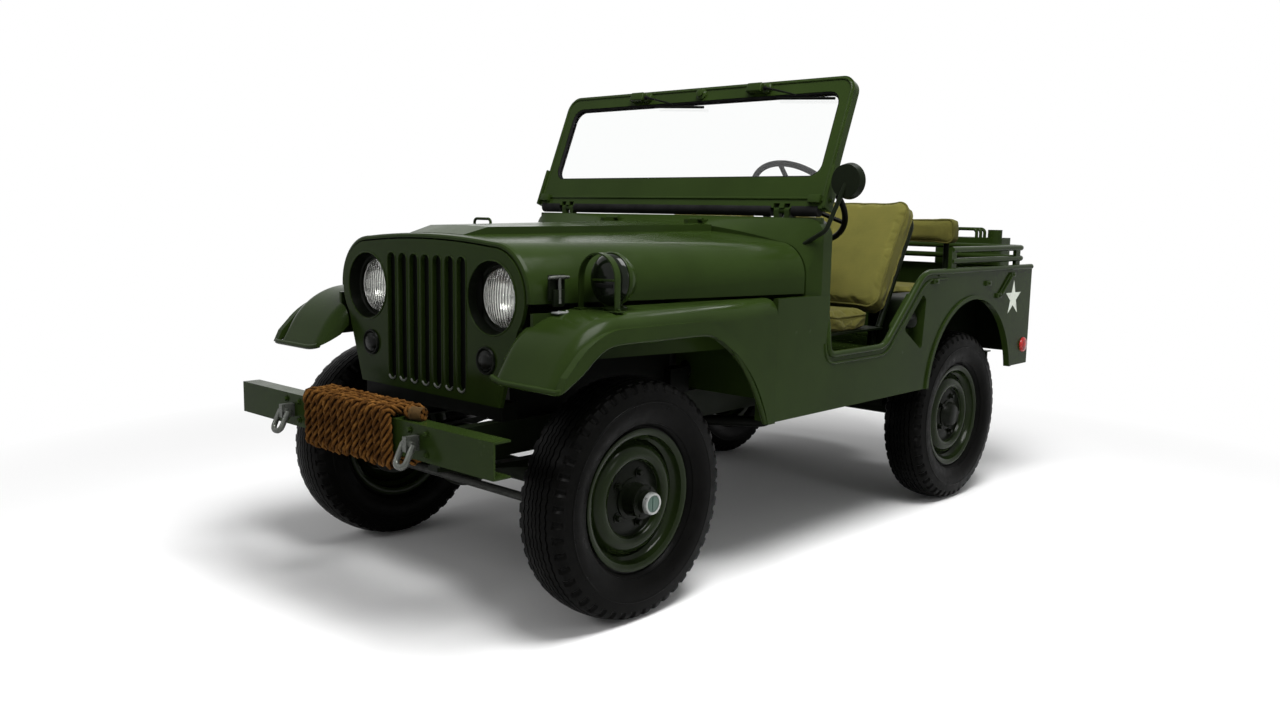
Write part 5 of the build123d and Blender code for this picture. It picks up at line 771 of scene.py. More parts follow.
# Lamps and grille trim
GRILLE_Y = -1.3135
LAMP_X = 0.33
LAMP_Z = 0.98
MARKER_X = 0.307
MARKER_Z = 0.788
SLOT_PITCH = 0.062
SLOT_HALF = 0.0215
SLOT_LOW = 0.675
SLOT_HIGH = 1.098
BUCKET_SKIN = (
    (-0.0005, 0.1115), (-0.006, 0.1105), (-0.036, 0.104), (-0.04, 0.0985), (-0.036, 0.0965), (-0.036, 0.0925),
    (-0.04, 0.0905), (-0.06, 0.0905), (-0.098, 0.062), (-0.1, 0.0),
)
BOWL_SKIN = ((-0.044, 0.0895), (-0.058, 0.078), (-0.074, 0.058), (-0.086, 0.032), (-0.09, 0.0))
BULB_SKIN = ((-0.09, 0.006), (-0.07, 0.006), (-0.068, 0.011), (-0.06, 0.011), (-0.055, 0.0))
GLASS_R = 0.0895
GLASS_AT = -0.0445
GLASS_CROWN = 0.017
GLASS_THICK = 0.004
GLASS_RADII = (GLASS_R, 0.08, 0.066, 0.05, 0.033, 0.016, 0.0)
MARKER_SKIN = (
    (0.0005, 0.0435), (0.005, 0.0435), (0.0085, 0.041), (0.0085, 0.0385), (0.003, 0.0345), (0.001, 0.0)
)
MARKER_GLASS_SKIN = ((0.0035, 0.0342), (0.009, 0.029), (0.013, 0.018), (0.0145, 0.0))


def build_lamps():
    """Headlamps with bucket, reflector and fluted glass; marker lamps; beads about the grille's openings;
    steel lips at the slot bottoms that paint the highlights there.
    """
    buckets, bowls, glasses, bulbs, markers, lenses, beads, lips = (bmesh.new() for _ in range(8))
    skin = [(GLASS_AT + GLASS_CROWN * (1 - (radius / GLASS_R) ** 2), radius) for radius in GLASS_RADII]
    back = [(along - GLASS_THICK, radius) for along, radius in reversed(skin)]
    for _, sign in SIDES:
        lamp = Vector((sign * LAMP_X, GRILLE_Y, LAMP_Z))
        add_lathe(buckets, BUCKET_SKIN, lamp, FORWARD, 64)
        add_lathe(bowls, BOWL_SKIN, lamp, FORWARD, 64)
        add_lathe(glasses, skin + back + skin[:1], lamp, FORWARD, 64)
        add_lathe(bulbs, BULB_SKIN, lamp, FORWARD, 16)
        add_tube(beads, ring_points(lamp + FORWARD * 0.0005, X_AXIS, Z_AXIS, 0.1135, 64), 0.0028, 8, True)
        marker = Vector((sign * MARKER_X, GRILLE_Y, MARKER_Z))
        add_lathe(markers, MARKER_SKIN, marker, FORWARD, 40)
        add_lathe(lenses, MARKER_GLASS_SKIN, marker, FORWARD, 40)
    for slot in range(-3, 4):
        top = Vector((slot * SLOT_PITCH, GRILLE_Y, SLOT_HIGH - SLOT_HALF))
        low = Vector((slot * SLOT_PITCH, GRILLE_Y, SLOT_LOW + SLOT_HALF))
        edge = ring_points(top, X_AXIS, Z_AXIS, SLOT_HALF + 0.002, 12, 0.0, math.pi)
        edge += ring_points(low, X_AXIS, Z_AXIS, SLOT_HALF + 0.002, 12, math.pi, math.pi)
        add_tube(beads, edge, 0.0026, 8, True)
        # painted highlight: a steel lip in each slot's bottom, for the light that the rounded bottoms catch
        low.y = GRILLE_Y - 0.001
        lip = ring_points(low, X_AXIS, Z_AXIS, SLOT_HALF - 0.001, 12, 1.15 * math.pi, 0.7 * math.pi)
        add_tube(lips, lip, 0.0036, 8)
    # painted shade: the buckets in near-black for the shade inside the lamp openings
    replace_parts(make_piece("headlamp_buckets", buckets, mat_hollow_shade, 30), "headlamps")
    make_piece("headlamp_reflectors", bowls, mat_reflector, 60)
    make_piece("headlamp_bulbs", bulbs, mat_chrome, 40)
    make_piece("headlamp_glasses", glasses, mat_flutes, 50)
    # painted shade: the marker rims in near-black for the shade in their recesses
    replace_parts(make_piece("marker_lamp_rims", markers, mat_hollow_shade, 40), "marker_lamps")
    make_piece("marker_lamp_glasses", lenses, mat_dark_lens, 60)
    make_piece("grille_beads", beads, mat_olive, 60)
    make_piece("grille_slot_highlight_lips", lips, mat_worn_and_highlight, 60)


build_lamps()

# The hooded lamp on the left fender, behind its strap guard
BLACKOUT = Vector((0.632, -1.0885, 1.045))
FENDER_TOP = 0.9575
BLACKOUT_SKIN = (
    (-0.052, 0.0), (-0.05, 0.022), (-0.043, 0.042), (-0.028, 0.06), (-0.006, 0.0735), (0.012, 0.0775),
    (0.013, 0.081), (0.022, 0.082), (0.025, 0.08), (0.025, 0.0765),
)
BLACKOUT_FOOT = ((0.0, 0.036), (0.006, 0.036), (0.01, 0.03), (0.012, 0.019), (0.03, 0.017))
BLACKOUT_FACE = (
    (0.0245, 0.0768), (0.034, 0.0735), (0.044, 0.062), (0.0495, 0.044), (0.052, 0.022), (0.0525, 0.0)
)
GUARD_OUTER = 0.0765
GUARD_INNER = 0.0722
GUARD_FEET = 0.0745
GUARD_AT = BLACKOUT + Vector((0, -0.06, 0.004))
GUARD_WIDTH = 0.022


def build_blackout_lamp():
    """Bowl, rim and hooded face, a foot on the fender and the strap ahead of it."""
    bm = bmesh.new()
    add_lathe(bm, BLACKOUT_SKIN, BLACKOUT, FORWARD, 56)
    add_lathe(bm, BLACKOUT_FOOT, (BLACKOUT.x, BLACKOUT.y, FENDER_TOP), Z_AXIS, 32)
    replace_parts(make_piece("blackout_bowl", bm, mat_olive, 40), "blackout_lamp")
    lathe_piece("blackout_face", BLACKOUT_FACE, BLACKOUT, FORWARD, 56, mat_gloss, 60)
    bm = bmesh.new()
    add_block(bm, (0.07, 0.012, 0.014), BLACKOUT + Vector((0, -0.0485, -0.016)), 0.004)
    make_piece("blackout_lens", bm, mat_dark_lens, 40)
    bm = bmesh.new()
    add_block(bm, (0.084, 0.022, 0.007), BLACKOUT + Vector((0, -0.0475, 0.0)), 0.002)
    outer, inner = (
        [(p.x, p.z) for p in ring_points((0, 0, 0), X_AXIS, Z_AXIS, radius, 28, 0.0, math.pi)]
        for radius in (GUARD_OUTER, GUARD_INNER)
    )
    drop = BLACKOUT.z - FENDER_TOP + 0.0005
    outline = [(GUARD_OUTER, -drop)] + outer + [(-GUARD_OUTER, -drop), (-GUARD_INNER, -drop)]
    outline += inner[::-1] + [(GUARD_INNER, -drop)]
    add_plate(bm, outline, GUARD_AT, X_AXIS, Z_AXIS, GUARD_WIDTH, 0.0012)
    y = GUARD_AT.y - GUARD_WIDTH / 2
    for shift in (-GUARD_FEET, GUARD_FEET):
        add_block(bm, (0.03, 0.034, 0.005), (GUARD_AT.x + shift, y, FENDER_TOP + 0.0012), 0.0015)
        add_bolt(bm, (GUARD_AT.x + shift * 1.09, y, FENDER_TOP + 0.003), Z_AXIS, 0.005, 0.006)
    make_piece("blackout_guard", bm, mat_olive, 40)


build_blackout_lamp()

# The folding windshield
WS_FOOT = Vector((0, -0.1515, 1.258))
WS_TILT = math.radians(22)
WS_UP = Vector((0, math.sin(WS_TILT), math.cos(WS_TILT)))
WS_OUT = Vector((0, -math.cos(WS_TILT), math.sin(WS_TILT)))
WS_TURN = Matrix.Rotation(-WS_TILT, 3, "X")
WS_CORNER = 0.052
HINGE_RUNS = ((-0.715, -0.605), (-0.515, 0.515), (0.605, 0.715))
PANE_CORNERS = ((0.636, 0.405), (-0.636, 0.405), (-0.636, 0.176), (0.636, 0.176))
RIM_CORNERS = ((0.676, 0.453), (-0.676, 0.453))
RIM_OUT = 0.017
WIPER_X = 0.305
WIPER_UP = 0.484
WIPER_SHIFT = 0.05
MOTOR_SKIN = ((0.0, 0.022), (0.016, 0.021), (0.02, 0.016), (0.022, 0.0))
KNOB_SKIN = ((0.0, 0.024), (0.006, 0.024), (0.012, 0.014), (0.02, 0.017), (0.026, 0.0))
PIVOT_SKIN = ((0.0, 0.009), (0.012, 0.009), (0.014, 0.0))


def on_windshield(x, up, out=0.0):
    """A point on the windshield, by its place across, up the slope and out to the front."""
    return WS_FOOT + x * X_AXIS + up * WS_UP + out * WS_OUT


def ws_corners(corners, steps, out=0.0):
    """Round corners on the windshield, a quarter turn each, in order from the upper left."""
    line = []
    for turn, (x, up) in enumerate(corners):
        line += ring_points(
            on_windshield(x, up, out), X_AXIS, WS_UP, WS_CORNER, steps, turn * QUARTER, QUARTER
        )
    return line


def build_windshield_trim():
    """Glass and hinge seals, stiffening beads, side arms, wipers, their motors and the knob."""
    bm = bmesh.new()
    for start, end in HINGE_RUNS:
        add_tube(bm, [on_windshield(start, 0), on_windshield(end, 0)], 0.0205, 24)
    for out in (0.006, -0.006):
        add_tube(bm, [point + out * WS_OUT for point in ws_corners(PANE_CORNERS, 12)], 0.0085, 8, True)
    make_piece("windshield_seals", bm, mat_seal, 50, "windshield")
    bm = bmesh.new()
    rim = [on_windshield(x, 0.03, RIM_OUT) for x in (0.728, -0.728)]
    add_tube(bm, rim[:1] + ws_corners(RIM_CORNERS, 10, RIM_OUT) + rim[1:], 0.005, 8)
    add_tube(bm, [on_windshield(x, 0.04, 0.0165) for x in (-0.71, 0.71)], 0.006, 8)
    for _, sign in SIDES:
        add_block(bm, (0.012, 0.055, 0.16), on_windshield(sign * 0.742, 0.085), 0.003, WS_TURN)
        add_block(bm, (0.05, 0.02, 0.03), on_windshield(sign * 0.7, 0.035, 0.024), 0.003, WS_TURN)
        for up in (0.04, 0.13):
            add_bolt(bm, on_windshield(sign * 0.748, up), (sign, 0, 0), 0.008, 0.01)
        motor = on_windshield(sign * WIPER_X, WIPER_UP, 0.03)
        add_block(bm, (0.07, 0.034, 0.036), motor, 0.006, WS_TURN, 3)
        add_lathe(bm, MOTOR_SKIN, on_windshield(sign * WIPER_X + WIPER_SHIFT, WIPER_UP, 0.016), WS_OUT, 28)
    add_lathe(bm, KNOB_SKIN, on_windshield(0.03, WIPER_UP, 0.016), WS_OUT, 28)
    make_piece("windshield_fittings", bm, mat_olive, 40, "windshield")
    bm = bmesh.new()
    for _, sign in SIDES:
        pivot = on_windshield(sign * WIPER_X + WIPER_SHIFT, 0.478, 0.042)
        tip = on_windshield(sign * WIPER_X + 0.2, 0.444, 0.03)
        add_lathe(bm, PIVOT_SKIN, pivot - 0.012 * WS_OUT, WS_OUT, 16)
        add_tube(bm, [pivot, pivot.lerp(tip, 0.5) + 0.003 * WS_OUT, tip], [0.005, 0.0035, 0.0025], 8)
        blade = [tip - 0.1 * X_AXIS - 0.014 * WS_OUT, tip + 0.16 * X_AXIS - 0.016 * WS_UP - 0.014 * WS_OUT]
        add_tube(bm, blade, 0.005, 8)
    make_piece("wipers", bm, mat_black, 50, "windshield")


build_windshield_trim()

# Hood latches
LATCH_X = 0.5235
LATCH_Y = -1.2285
LATCH_Z = 1.02
KEEPER_SIZE = (0.034, 0.05, 0.005)
HANDLE = ((-0.04, 0.004), (-0.02, 0.006), (0.0, 0.0065), (0.02, 0.006), (0.04, 0.004))


def build_hood_trim():
    """A latch with its handle on each side of the hood, and its keeper on the fender."""
    latch, keeper, handle = (bmesh.new() for _ in range(3))
    for _, sign in SIDES:
        base = Vector((sign * LATCH_X, LATCH_Y, LATCH_Z))
        add_block(latch, (0.01, 0.062, 0.075), base, 0.003)
        add_block(latch, (0.014, 0.04, 0.05), base + Vector((sign * 0.01, 0, -0.03)), 0.004)
        grip = [base + Vector((sign * 0.012, shift, 0.03)) for shift, _ in HANDLE]
        add_tube(handle, grip, [radius for _, radius in HANDLE], 10)
        stem = [base + Vector((sign * 0.014, 0, 0.03)), base + Vector((sign * 0.016, 0, -0.046))]
        add_tube(handle, stem, 0.0055, 10)
        add_block(keeper, KEEPER_SIZE, (sign * 0.546, LATCH_Y, FENDER_TOP - 0.0095), 0.0015)
        for y in (-1.245, -1.212):
            add_bolt(keeper, (sign * 0.553, y, FENDER_TOP - 0.008), Z_AXIS, 0.004, 0.005)
    make_piece("hood_latches", latch, mat_dark, 40, "hood")
    make_piece("hood_latch_handles", handle, mat_worn_and_highlight, 50, "hood")
    make_piece("hood_latch_keepers", keeper, mat_steel, 40)


build_hood_trim()

# The tub's rolled edges, filler, stars and side fittings
TUB_X = 0.75
DOOR_FRONT = -0.1085
SILL_Z = 0.7435
DOOR_CORNER = 0.06
DOOR_SKIN = 0.008
DOOR_EDGE = (
    (-0.1125, 0.9), (-0.1115, 0.84), (-0.1115, 0.747), (-0.02, 0.747), (0.194, 0.747), (0.2815, 0.747),
    (0.345, 0.8073), (0.4847, 0.9397), (0.5715, 1.022), (0.6911, 1.022), (1.0, 1.022), (1.612, 1.022),
)
DOOR_SUNK = (0.016, 0.006) + (0.002,) * (len(DOOR_EDGE) - 2)
DOOR_PRESSING = (
    (-0.135, 0.79), (-0.135, 0.716), (0.0, 0.716), (0.08, 0.716), (0.2, 0.716), (0.297, 0.716),
    (0.372, 0.786), (0.5, 0.905), (0.59, 0.991), (0.7, 0.993), (0.76, 0.993),
)
NOSE_EDGE = (
    (0.468, -1.424, 0.768), (0.5, -1.4305, 0.7575), (0.58, -1.4305, 0.7575), (0.68, -1.4305, 0.7575),
    (0.742, -1.4295, 0.757),
)
ARCH_EDGE = (
    (-1.424, 0.7585), (-1.3885, 0.779), (-1.3465, 0.803), (-1.3085, 0.834), (-1.2785, 0.856),
    (-1.235, 0.874), (-1.19, 0.877), (-1.02, 0.877), (-0.85, 0.877), (-0.79, 0.874), (-0.7, 0.845),
    (-0.6175, 0.76), (-0.54, 0.66), (-0.4855, 0.55),
)
CAP_AT = Vector((0.686, 0.536, 0.828))
CAP_SLANT = Vector((0.9, -0.28, 0.33)).normalized()
CAP_SKIN = ((0.0, 0.03), (0.02, 0.03), (0.021, 0.04), (0.036, 0.04), (0.04, 0.034), (0.042, 0.0))
SIDE_RODS = (
    (0.756, (1.285, 0.9), (1.41, 0.998), 0.006),
    (0.755, (1.265, 0.905), (1.37, 0.99), 0.004),
)
SIDE_CLIPS = ((1.265, 0.9), (1.4, 0.99), (0.66, 0.985), (1.15, 0.96))
STAR_AT = (1.4285, 0.881)
STAR_OUTER = 0.083
STAR_INNER = 0.032
REFLECTOR_AT = (1.567, 0.655)
REFLECTOR_SKIN = ((0.0, 0.034), (0.006, 0.034), (0.012, 0.028), (0.015, 0.0))


def add_bead(bm, route, step, radius, steps):
    """A rolled bead along the smooth spline of a route."""
    add_tube(bm, even_points(spline_points(route), step), radius, steps)


def build_tub_trim():
    """Rolled edges of the door opening and fender lips, the fuel cap, and fittings on the sides."""
    bm = bmesh.new()
    for _, sign in SIDES:
        route = [(sign * (TUB_X - depth), y, z) for depth, (y, z) in zip(DOOR_SUNK, DOOR_EDGE)]
        add_bead(bm, route, 0.012, 0.0125, 12)
        add_bead(bm, [(sign * (TUB_X + 0.0005), y, z) for y, z in DOOR_PRESSING], 0.012, 0.0055, 10)
        middle = (sign * TUB_X, DOOR_FRONT + DOOR_CORNER, SILL_Z + DOOR_CORNER)
        corner = ring_points(middle, FORWARD, DOWN, DOOR_CORNER, 10, 0.0, QUARTER)
        fillet = [(sign * (p.y - DOOR_FRONT), p.z - SILL_Z) for p in corner] + [(0.0, 0.0)]
        inside = (sign * (TUB_X - DOOR_SKIN), DOOR_FRONT, SILL_Z)
        add_plate(bm, fillet, inside, (0, sign, 0), Z_AXIS, DOOR_SKIN)
        route = [(sign * x, y, z) for x, y, z in NOSE_EDGE]
        route += [(sign * (TUB_X + 0.003), y, z) for y, z in ARCH_EDGE]
        add_bead(bm, route, 0.01, 0.009, 10)
    make_piece("rolled_edges", bm, mat_olive, 60)
    bm = bmesh.new()
    add_lathe(bm, CAP_SKIN, CAP_AT, CAP_SLANT, 32)
    add_block(bm, (0.008, 0.06, 0.014), CAP_AT + CAP_SLANT * 0.044, 0.003)
    # painted shade: the cap in near-black for the shade of the filler recess
    make_piece("fuel_cap", bm, mat_hollow_shade, 40)
    bm = bmesh.new()
    for _, sign in SIDES:
        for x, start, end, radius in SIDE_RODS:
            add_tube(bm, [(sign * x, *start), (sign * x, *end)], radius, 10)
        for y, z in SIDE_CLIPS:
            add_block(bm, (0.012, 0.046, 0.022), (sign * 0.754, y, z), 0.003)
            add_bolt(bm, (sign * 0.76, y, z), (sign, 0, 0), 0.005, 0.006)
    make_piece("side_fittings", bm, mat_olive, 40)
    for side, sign in SIDES:
        bm = bmesh.new()
        points = []
        for index in range(10):
            angle = QUARTER + TAU * index / 10
            radius = STAR_INNER if index % 2 else STAR_OUTER
            points.append((sign * radius * math.cos(angle), radius * math.sin(angle)))
        add_plate(bm, points, (sign * (TUB_X + 0.0002), *STAR_AT), (0, sign, 0), Z_AXIS, 0.0006)
        make_piece(f"star_{side}", bm, mat_white, 40)
        spot = (sign * TUB_X, *REFLECTOR_AT)
        lathe_piece(f"side_reflector_{side}", REFLECTOR_SKIN, spot, (sign, 0, 0), 32, mat_red, 60)


build_tub_trim()

# The dash, the bumper's bolts and the rear lamps
DASH_Y = -0.1375
DIALS = (
    (0.0, 1.13, 0.048), (-0.1, 1.14, 0.027), (0.1, 1.14, 0.027), (-0.07, 1.075, 0.027), (0.07, 1.075, 0.027)
)
SWITCHES = (-0.2, -0.25, 0.2)
SWITCH_Z = 1.09
SWITCH_SKIN = ((0.0, 0.012), (0.004, 0.012), (0.014, 0.007), (0.02, 0.009), (0.024, 0.0))
BUMPER_BOLT_X = 0.345
BUMPER_FACE = -1.5935
TAIL_AT = (0.69, 1.6675, 0.985)
TAIL_SKIN = ((0.0, 0.027), (0.003, 0.027), (0.009, 0.02), (0.011, 0.0))


def build_small_fittings():
    """Dials and switches, bumper bolts and tail-lamp lenses."""
    bezels, faces, bolts, lenses = (bmesh.new() for _ in range(4))
    for x, z, radius in DIALS:
        spot = Vector((x, DASH_Y, z))
        bezel = ((0.0, radius), (0.005, radius), (0.006, radius - 0.004), (0.002, radius - 0.005))
        add_lathe(bezels, bezel, spot, Y_AXIS, 36)
        add_lathe(faces, ((0.0015, radius - 0.004), (0.002, 0.0)), spot, Y_AXIS, 36)
        needle = spot + Vector((0.006, 0.0028, radius * 0.2))
        add_block(faces, (0.002, 0.001, radius * 0.9), needle, 0.0)
    for x in SWITCHES:
        add_lathe(bezels, SWITCH_SKIN, (x, DASH_Y, SWITCH_Z), Y_AXIS, 20)
    for _, sign in SIDES:
        for shift in (-0.04, 0.04):
            for z in (0.552, 0.613):
                add_bolt(bolts, (sign * BUMPER_BOLT_X + shift, BUMPER_FACE, z), FORWARD, 0.008, 0.009)
        add_lathe(lenses, TAIL_SKIN, (sign * TAIL_AT[0], *TAIL_AT[1:]), Y_AXIS, 32)
    make_piece("dial_bezels", bezels, mat_steel, 50)
    make_piece("dial_faces", faces, mat_dial, 50)
    make_piece("bumper_bolts", bolts, mat_olive, 40)
    make_piece("tail_lenses", lenses, mat_red, 60)


build_small_fittings()

# Black sheets of painted shade in the wheel wells and behind the grille, and a strip that closes a gap
SPLASH_SHADE_SIZE = (0.003, 0.74, 0.36)
SPLASH_SHADE_AT = (0.347, -0.885, 0.745)
SHADE_SCREEN_SIZE = (0.5, 0.003, 0.46)
SHADE_SCREEN_AT = (0, -1.284, 0.885)
STRIP_SIZE = (1.46, 0.02, 0.05)
STRIP_Z = 1.2098


def build_shade_panels():
    """Black panels between wheel wells and engine, in the place of splash shields, that paint the shade there;
    a black screen behind the grille that paints the shade seen through its slots; a strip under the
    windshield.
    """
    bm = bmesh.new()
    for _, sign in SIDES:
        # painted shade: black panels beside the engine, where the wheel wells are dark
        add_block(bm, SPLASH_SHADE_SIZE, (sign * SPLASH_SHADE_AT[0], *SPLASH_SHADE_AT[1:]), 0.0)
    # painted shade: a black screen behind the grille's slots
    add_block(bm, SHADE_SCREEN_SIZE, SHADE_SCREEN_AT, 0.0)
    make_piece("shade_panels", bm, mat_black, 40)
    bm = bmesh.new()
    add_block(bm, STRIP_SIZE, (0, WS_FOOT.y, STRIP_Z), 0.003)
    make_piece("cowl_strip", bm, mat_olive, 40)


build_shade_panels()

# Seats: each pad is shrunk, swollen by a cloth simulation against a limit, and piped
PAD_VOXEL = 0.0075
PAD_SHRINK = 0.009
PAD_FRAMES = 20
PAD_PRESSURE = 4
PIPING_R = 0.0045
SEAM_R = 0.0035
BACK_LEAN = math.radians(29)
BACK_UP = Vector((0, math.sin(BACK_LEAN), math.cos(BACK_LEAN)))
BACK_OUT = Vector((0, -math.cos(BACK_LEAN), math.sin(BACK_LEAN)))
SEATS_AT = 0.41
CUSHION_REST = (Vector((0, 0, 0.8005)), DOWN)
BENCH_REST = (Vector((0, 0, 0.8305)), DOWN)


def node_part(name, keep):
    """A mesh copied from the part of a CAD node where keep(point) is true."""
    mesh = nodes[name].data.copy()
    mesh.transform(nodes[name].matrix_world)
    bm = bmesh.new()
    bm.from_mesh(mesh)
    bmesh.ops.delete(bm, geom=[v for v in bm.verts if not keep(v.co)], context="VERTS")
    bmesh.ops.remove_doubles(bm, verts=bm.verts, dist=1e-5)
    bm.to_mesh(mesh)
    bm.free()
    return mesh


def settled(holder):
    """The holder's mesh with its modifiers worked out."""
    graph = bpy.context.evaluated_depsgraph_get()
    return bpy.data.meshes.new_from_object(holder.evaluated_get(graph))


def swell(holder, cap):
    """Runs the cloth under pressure and moves each point no further than the cap."""
    start = [v.co.copy() for v in holder.data.vertices]
    cloth = holder.modifiers.new("cloth", "CLOTH")
    cloth.settings.use_pressure = True
    cloth.settings.uniform_pressure_force = PAD_PRESSURE
    cloth.settings.effector_weights.gravity = 0
    cloth.settings.quality = 4
    cloth.collision_settings.use_collision = False
    cloth.point_cache.frame_start = 1
    cloth.point_cache.frame_end = PAD_FRAMES
    for number in range(1, PAD_FRAMES + 1):
        scene.frame_set(number)
    graph = bpy.context.evaluated_depsgraph_get()
    swollen = [v.co.copy() for v in holder.evaluated_get(graph).data.vertices]
    holder.modifiers.remove(cloth)
    scene.frame_set(1)
    for vert, before, after in zip(holder.data.vertices, start, swollen):
        move = after - before
        if move.length > cap:
            move *= cap / move.length
        vert.co = before + move


def make_pad(name, node, rest, cap, keep=lambda point: True):
    """One padded piece in place of a node; rest is a point and a direction that the pad may not pass."""
    holder = bpy.data.objects.new(name, node_part(node, keep))
    scene.collection.objects.link(holder)
    remesh = holder.modifiers.new("remesh", "REMESH")
    remesh.mode = "VOXEL"
    remesh.voxel_size = PAD_VOXEL
    holder.data = settled(holder)
    holder.modifiers.clear()
    normals = [v.normal.copy() for v in holder.data.vertices]
    for vert, normal in zip(holder.data.vertices, normals):
        vert.co -= PAD_SHRINK * normal
    swell(holder, cap)
    point, way = rest
    for vert in holder.data.vertices:
        past = (vert.co - point).dot(way)
        if past > 0:
            vert.co -= past * way
    smooth = holder.modifiers.new("smooth", "SUBSURF")
    smooth.levels = 1
    smooth.render_levels = 1
    mesh = settled(holder)
    bpy.data.objects.remove(holder)
    pad = mesh_piece(name, mesh, mat_canvas, 70)
    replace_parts(pad, node)
    return pad


def add_piping(name, pad, points, radius=PIPING_R):
    """Piping laid on a pad along a closed line."""
    surface = BVHTree.FromObject(pad, bpy.context.evaluated_depsgraph_get())
    laid = []
    for point in points:
        spot, normal, _, _ = surface.find_nearest(point)
        laid.append(spot + 0.35 * radius * normal)
    bm = bmesh.new()
    add_tube(bm, laid, radius, 8, True)
    make_piece(name, bm, mat_piping, 60)


def rounded_loop(centre, up, half_a, half_b, corner):
    """A closed loop about a rectangle with round corners, across X and along up."""
    loop = []
    for turn, (sa, sb) in enumerate(((1, 1), (-1, 1), (-1, -1), (1, -1))):
        middle = Vector(centre) + sa * (half_a - corner) * X_AXIS + sb * (half_b - corner) * up
        loop += ring_points(middle, X_AXIS, up, corner, 8, turn * QUARTER, QUARTER)
    dense = []
    for first, second in zip(loop, loop[1:] + loop[:1]):
        cuts = max(1, int((second - first).length / 0.02))
        dense += [first.lerp(second, cut / cuts) for cut in range(cuts)]
    return dense


def build_seats():
    """The two front seats and the rear bench, each pad with its piping."""
    for side, sign in SIDES:
        def on_side(point):
            return point.x * sign > 0

        foot = Vector((sign * SEATS_AT, 0.4665, 0.796))
        rest = (foot + 0.0135 * BACK_OUT, -BACK_OUT)
        back = make_pad(f"seat_back_{side}", "front_seat_backs", rest, 0.017, on_side)
        middle = foot + 0.292 * BACK_UP
        front = rounded_loop(middle + 0.092 * BACK_OUT, BACK_UP, 0.226, 0.251, 0.06)
        add_piping(f"seat_back_piping_{side}", back, front)
        rear = rounded_loop(middle + 0.022 * BACK_OUT, BACK_UP, 0.24, 0.265, 0.064)
        add_piping(f"seat_back_seam_{side}", back, rear, SEAM_R)
        cushion = make_pad(
            f"seat_cushion_{side}", "front_seat_cushions", CUSHION_REST, 0.018, on_side
        )
        edge = rounded_loop((sign * SEATS_AT, 0.2267, 0.866), Y_AXIS, 0.227, 0.153, 0.048)
        add_piping(f"seat_cushion_piping_{side}", cushion, edge)
    bench = make_pad("bench_cushion", "rear_seat_cushion", BENCH_REST, 0.02)
    add_piping("bench_piping", bench, rounded_loop((0, 1.1765, 0.915), Y_AXIS, 0.456, 0.186, 0.048))
    low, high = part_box("rear_seat_back")
    middle = (Vector(low) + Vector(high)) / 2
    rest = (Vector((0, high[1] - 0.0005, 0)), Y_AXIS)
    back = make_pad("bench_back", "rear_seat_back", rest, 0.016)
    half_z = (high[2] - low[2]) / 2
    edge = rounded_loop((0, low[1] + 0.008, middle.z), Z_AXIS, high[0] - 0.008, half_z - 0.008, 0.036)
    add_piping("bench_back_piping", back, edge)


build_seats()

# Materials of the CAD nodes
NODE_LOOKS = (
    (mat_wheel, "wheel_fl wheel_fr wheel_rl wheel_rr spare_wheel"),
    (
        mat_olive,
        "front_bumper grille hood fender_left fender_right cowl firewall instrument_panel body_side_left"
        " body_side_right floor rear_panel windshield_frame fuel_can rear_carriers rear_bumperettes top_bows",
    ),
    # frame, springs, axles and wheel houses: their own dark paint, darkened further as painted shade under the
    # car
    (mat_dark, "wheel_houses frame leaf_springs front_axle rear_axle seat_frames blackout_lamp mirror"),
    (mat_black, "headlamps marker_lamps radiator steering_wheel steering_column tail_lamps levers exhaust"),
    (mat_cast, "knuckle_left knuckle_right tie_rod pintle_hook engine gearbox propeller_shafts"),
    # steel on the shackles also paints the bright highlight on their bows
    (mat_worn_and_highlight, "tow_shackles"),
    (mat_glass, "windshield_glass"),
    (mat_canvas, "front_seat_cushions front_seat_backs rear_seat_cushion rear_seat_back"),
)


def dress_nodes():
    """Gives each CAD node its material."""
    for material, names in NODE_LOOKS:
        for name in names.split():
            mesh = nodes[name].data
            mesh.materials.clear()
            mesh.materials.append(material)


dress_nodes()

# Studio
FLOOR_REACH = 60
FLOOR_PALE = (0.88, 0.88, 0.88)
FADE_FROM = 1.9
FADE_TO = 3.6
WORLD_LIGHT = 0.36
LAMPS = (
    ("soft_over", (1.5, -0.9, 4.3), (0, -0.2, 0.6), 2.2, 300),
    ("soft_left", (4.4, -0.6, 2.4), (0, -0.1, 0.8), 1.1, 12),
    ("soft_front", (-0.8, -5.2, 2.8), (0, -0.8, 0.8), 1.1, 30),
    ("soft_back", (0.3, 3.4, 4.3), (0, -0.6, 1.0), 0.9, 28),
)


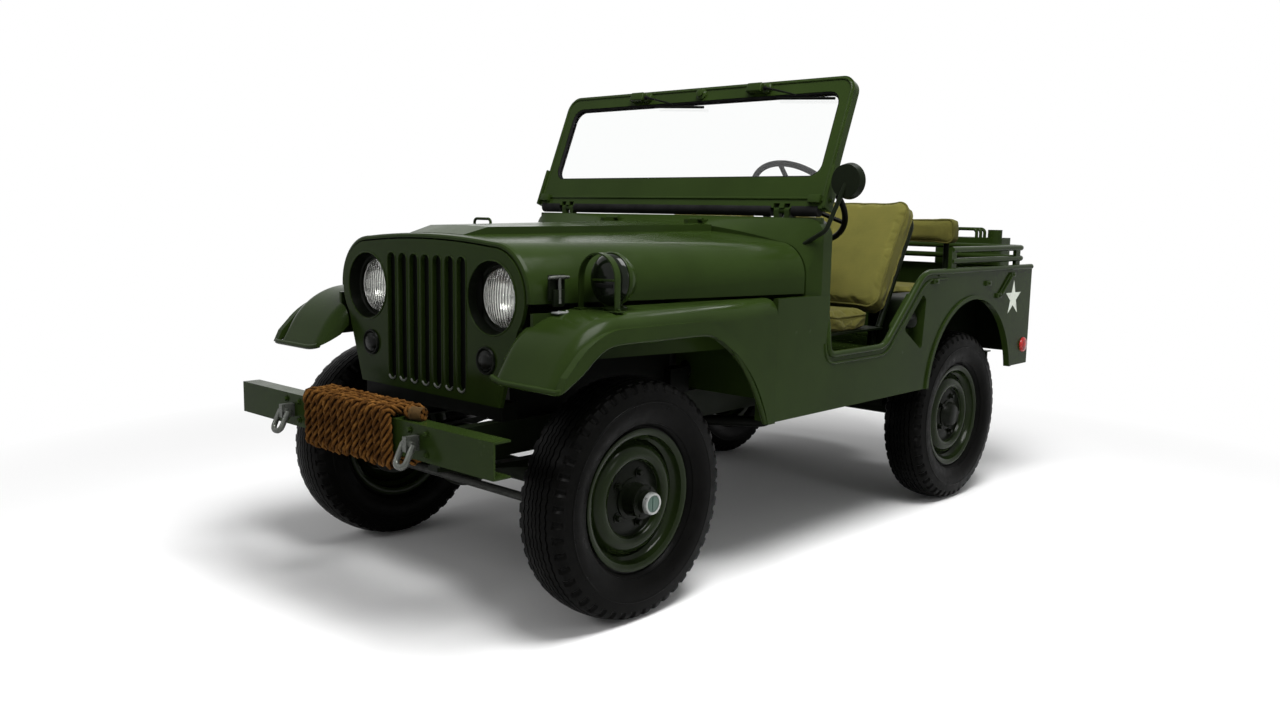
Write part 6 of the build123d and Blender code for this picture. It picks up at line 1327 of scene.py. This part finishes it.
def seen_ray(tree):
    """1 for rays that show the background: from the camera, through glass and off metal."""
    path = tree.add("LightPath", {}).outputs
    seen = tree.math("MAXIMUM", path["Is Camera Ray"], path["Is Transmission Ray"])
    return tree.math("MAXIMUM", seen, path["Is Glossy Ray"])


def build_floor():
    """A pale floor that keeps the shadow and turns to plain white further out."""
    mesh = bpy.data.meshes.new("floor_plane")
    corners = [(FLOOR_REACH * x, FLOOR_REACH * y, 0) for x, y in ((-1, -1), (1, -1), (1, 1), (-1, 1))]
    mesh.from_pydata(corners, [], [(0, 1, 2, 3)])
    floor = bpy.data.objects.new("floor_plane", mesh)
    scene.collection.objects.link(floor)
    look = Look("floor_pale", FLOOR_PALE, 0.9, 0.0, 0.0)
    tone = look.ramp(look.noise(3), (0.3, (0.875, 0.875, 0.875)), (0.7, (0.885, 0.885, 0.885)))
    look.set({"Base Color": tone})
    distance = look.add("VectorMath", {0: look.place}, operation="LENGTH").outputs["Value"]
    far = look.mapped(distance, 0.0, 1.0, FADE_FROM, FADE_TO)
    white = look.add("Emission", {}).outputs["Emission"]
    share = look.math("MULTIPLY", far, seen_ray(look))
    blend = look.add("MixShader", {"Fac": share, 1: look.shader.outputs["BSDF"], 2: white})
    look.feed(look.tree.nodes["Material Output"], {"Surface": blend.outputs["Shader"]})
    mesh.materials.append(look.material)


def build_stage():
    """The floor, a white surround and soft lamps."""
    build_floor()
    world = bpy.data.worlds.new("studio")
    scene.world = world
    world.use_nodes = True
    sky = Nodes(world.node_tree)
    sky.tree.nodes.clear()
    strength = sky.mapped(seen_ray(sky), WORLD_LIGHT, 1.0, 0.0, 1.0)
    back = sky.add("Background", {"Color": (1, 1, 1, 1), "Strength": strength})
    sky.add("OutputWorld", {"Surface": back.outputs["Background"]})
    for name, place, target, size, power in LAMPS:
        data = bpy.data.lights.new(name, "AREA")
        data.shape = "SQUARE"
        data.size = size
        data.energy = power
        lamp = bpy.data.objects.new(name, data)
        lamp.location = place
        lamp.rotation_euler = (Vector(target) - Vector(place)).to_track_quat("-Z", "Y").to_euler()
        scene.collection.objects.link(lamp)


build_stage()
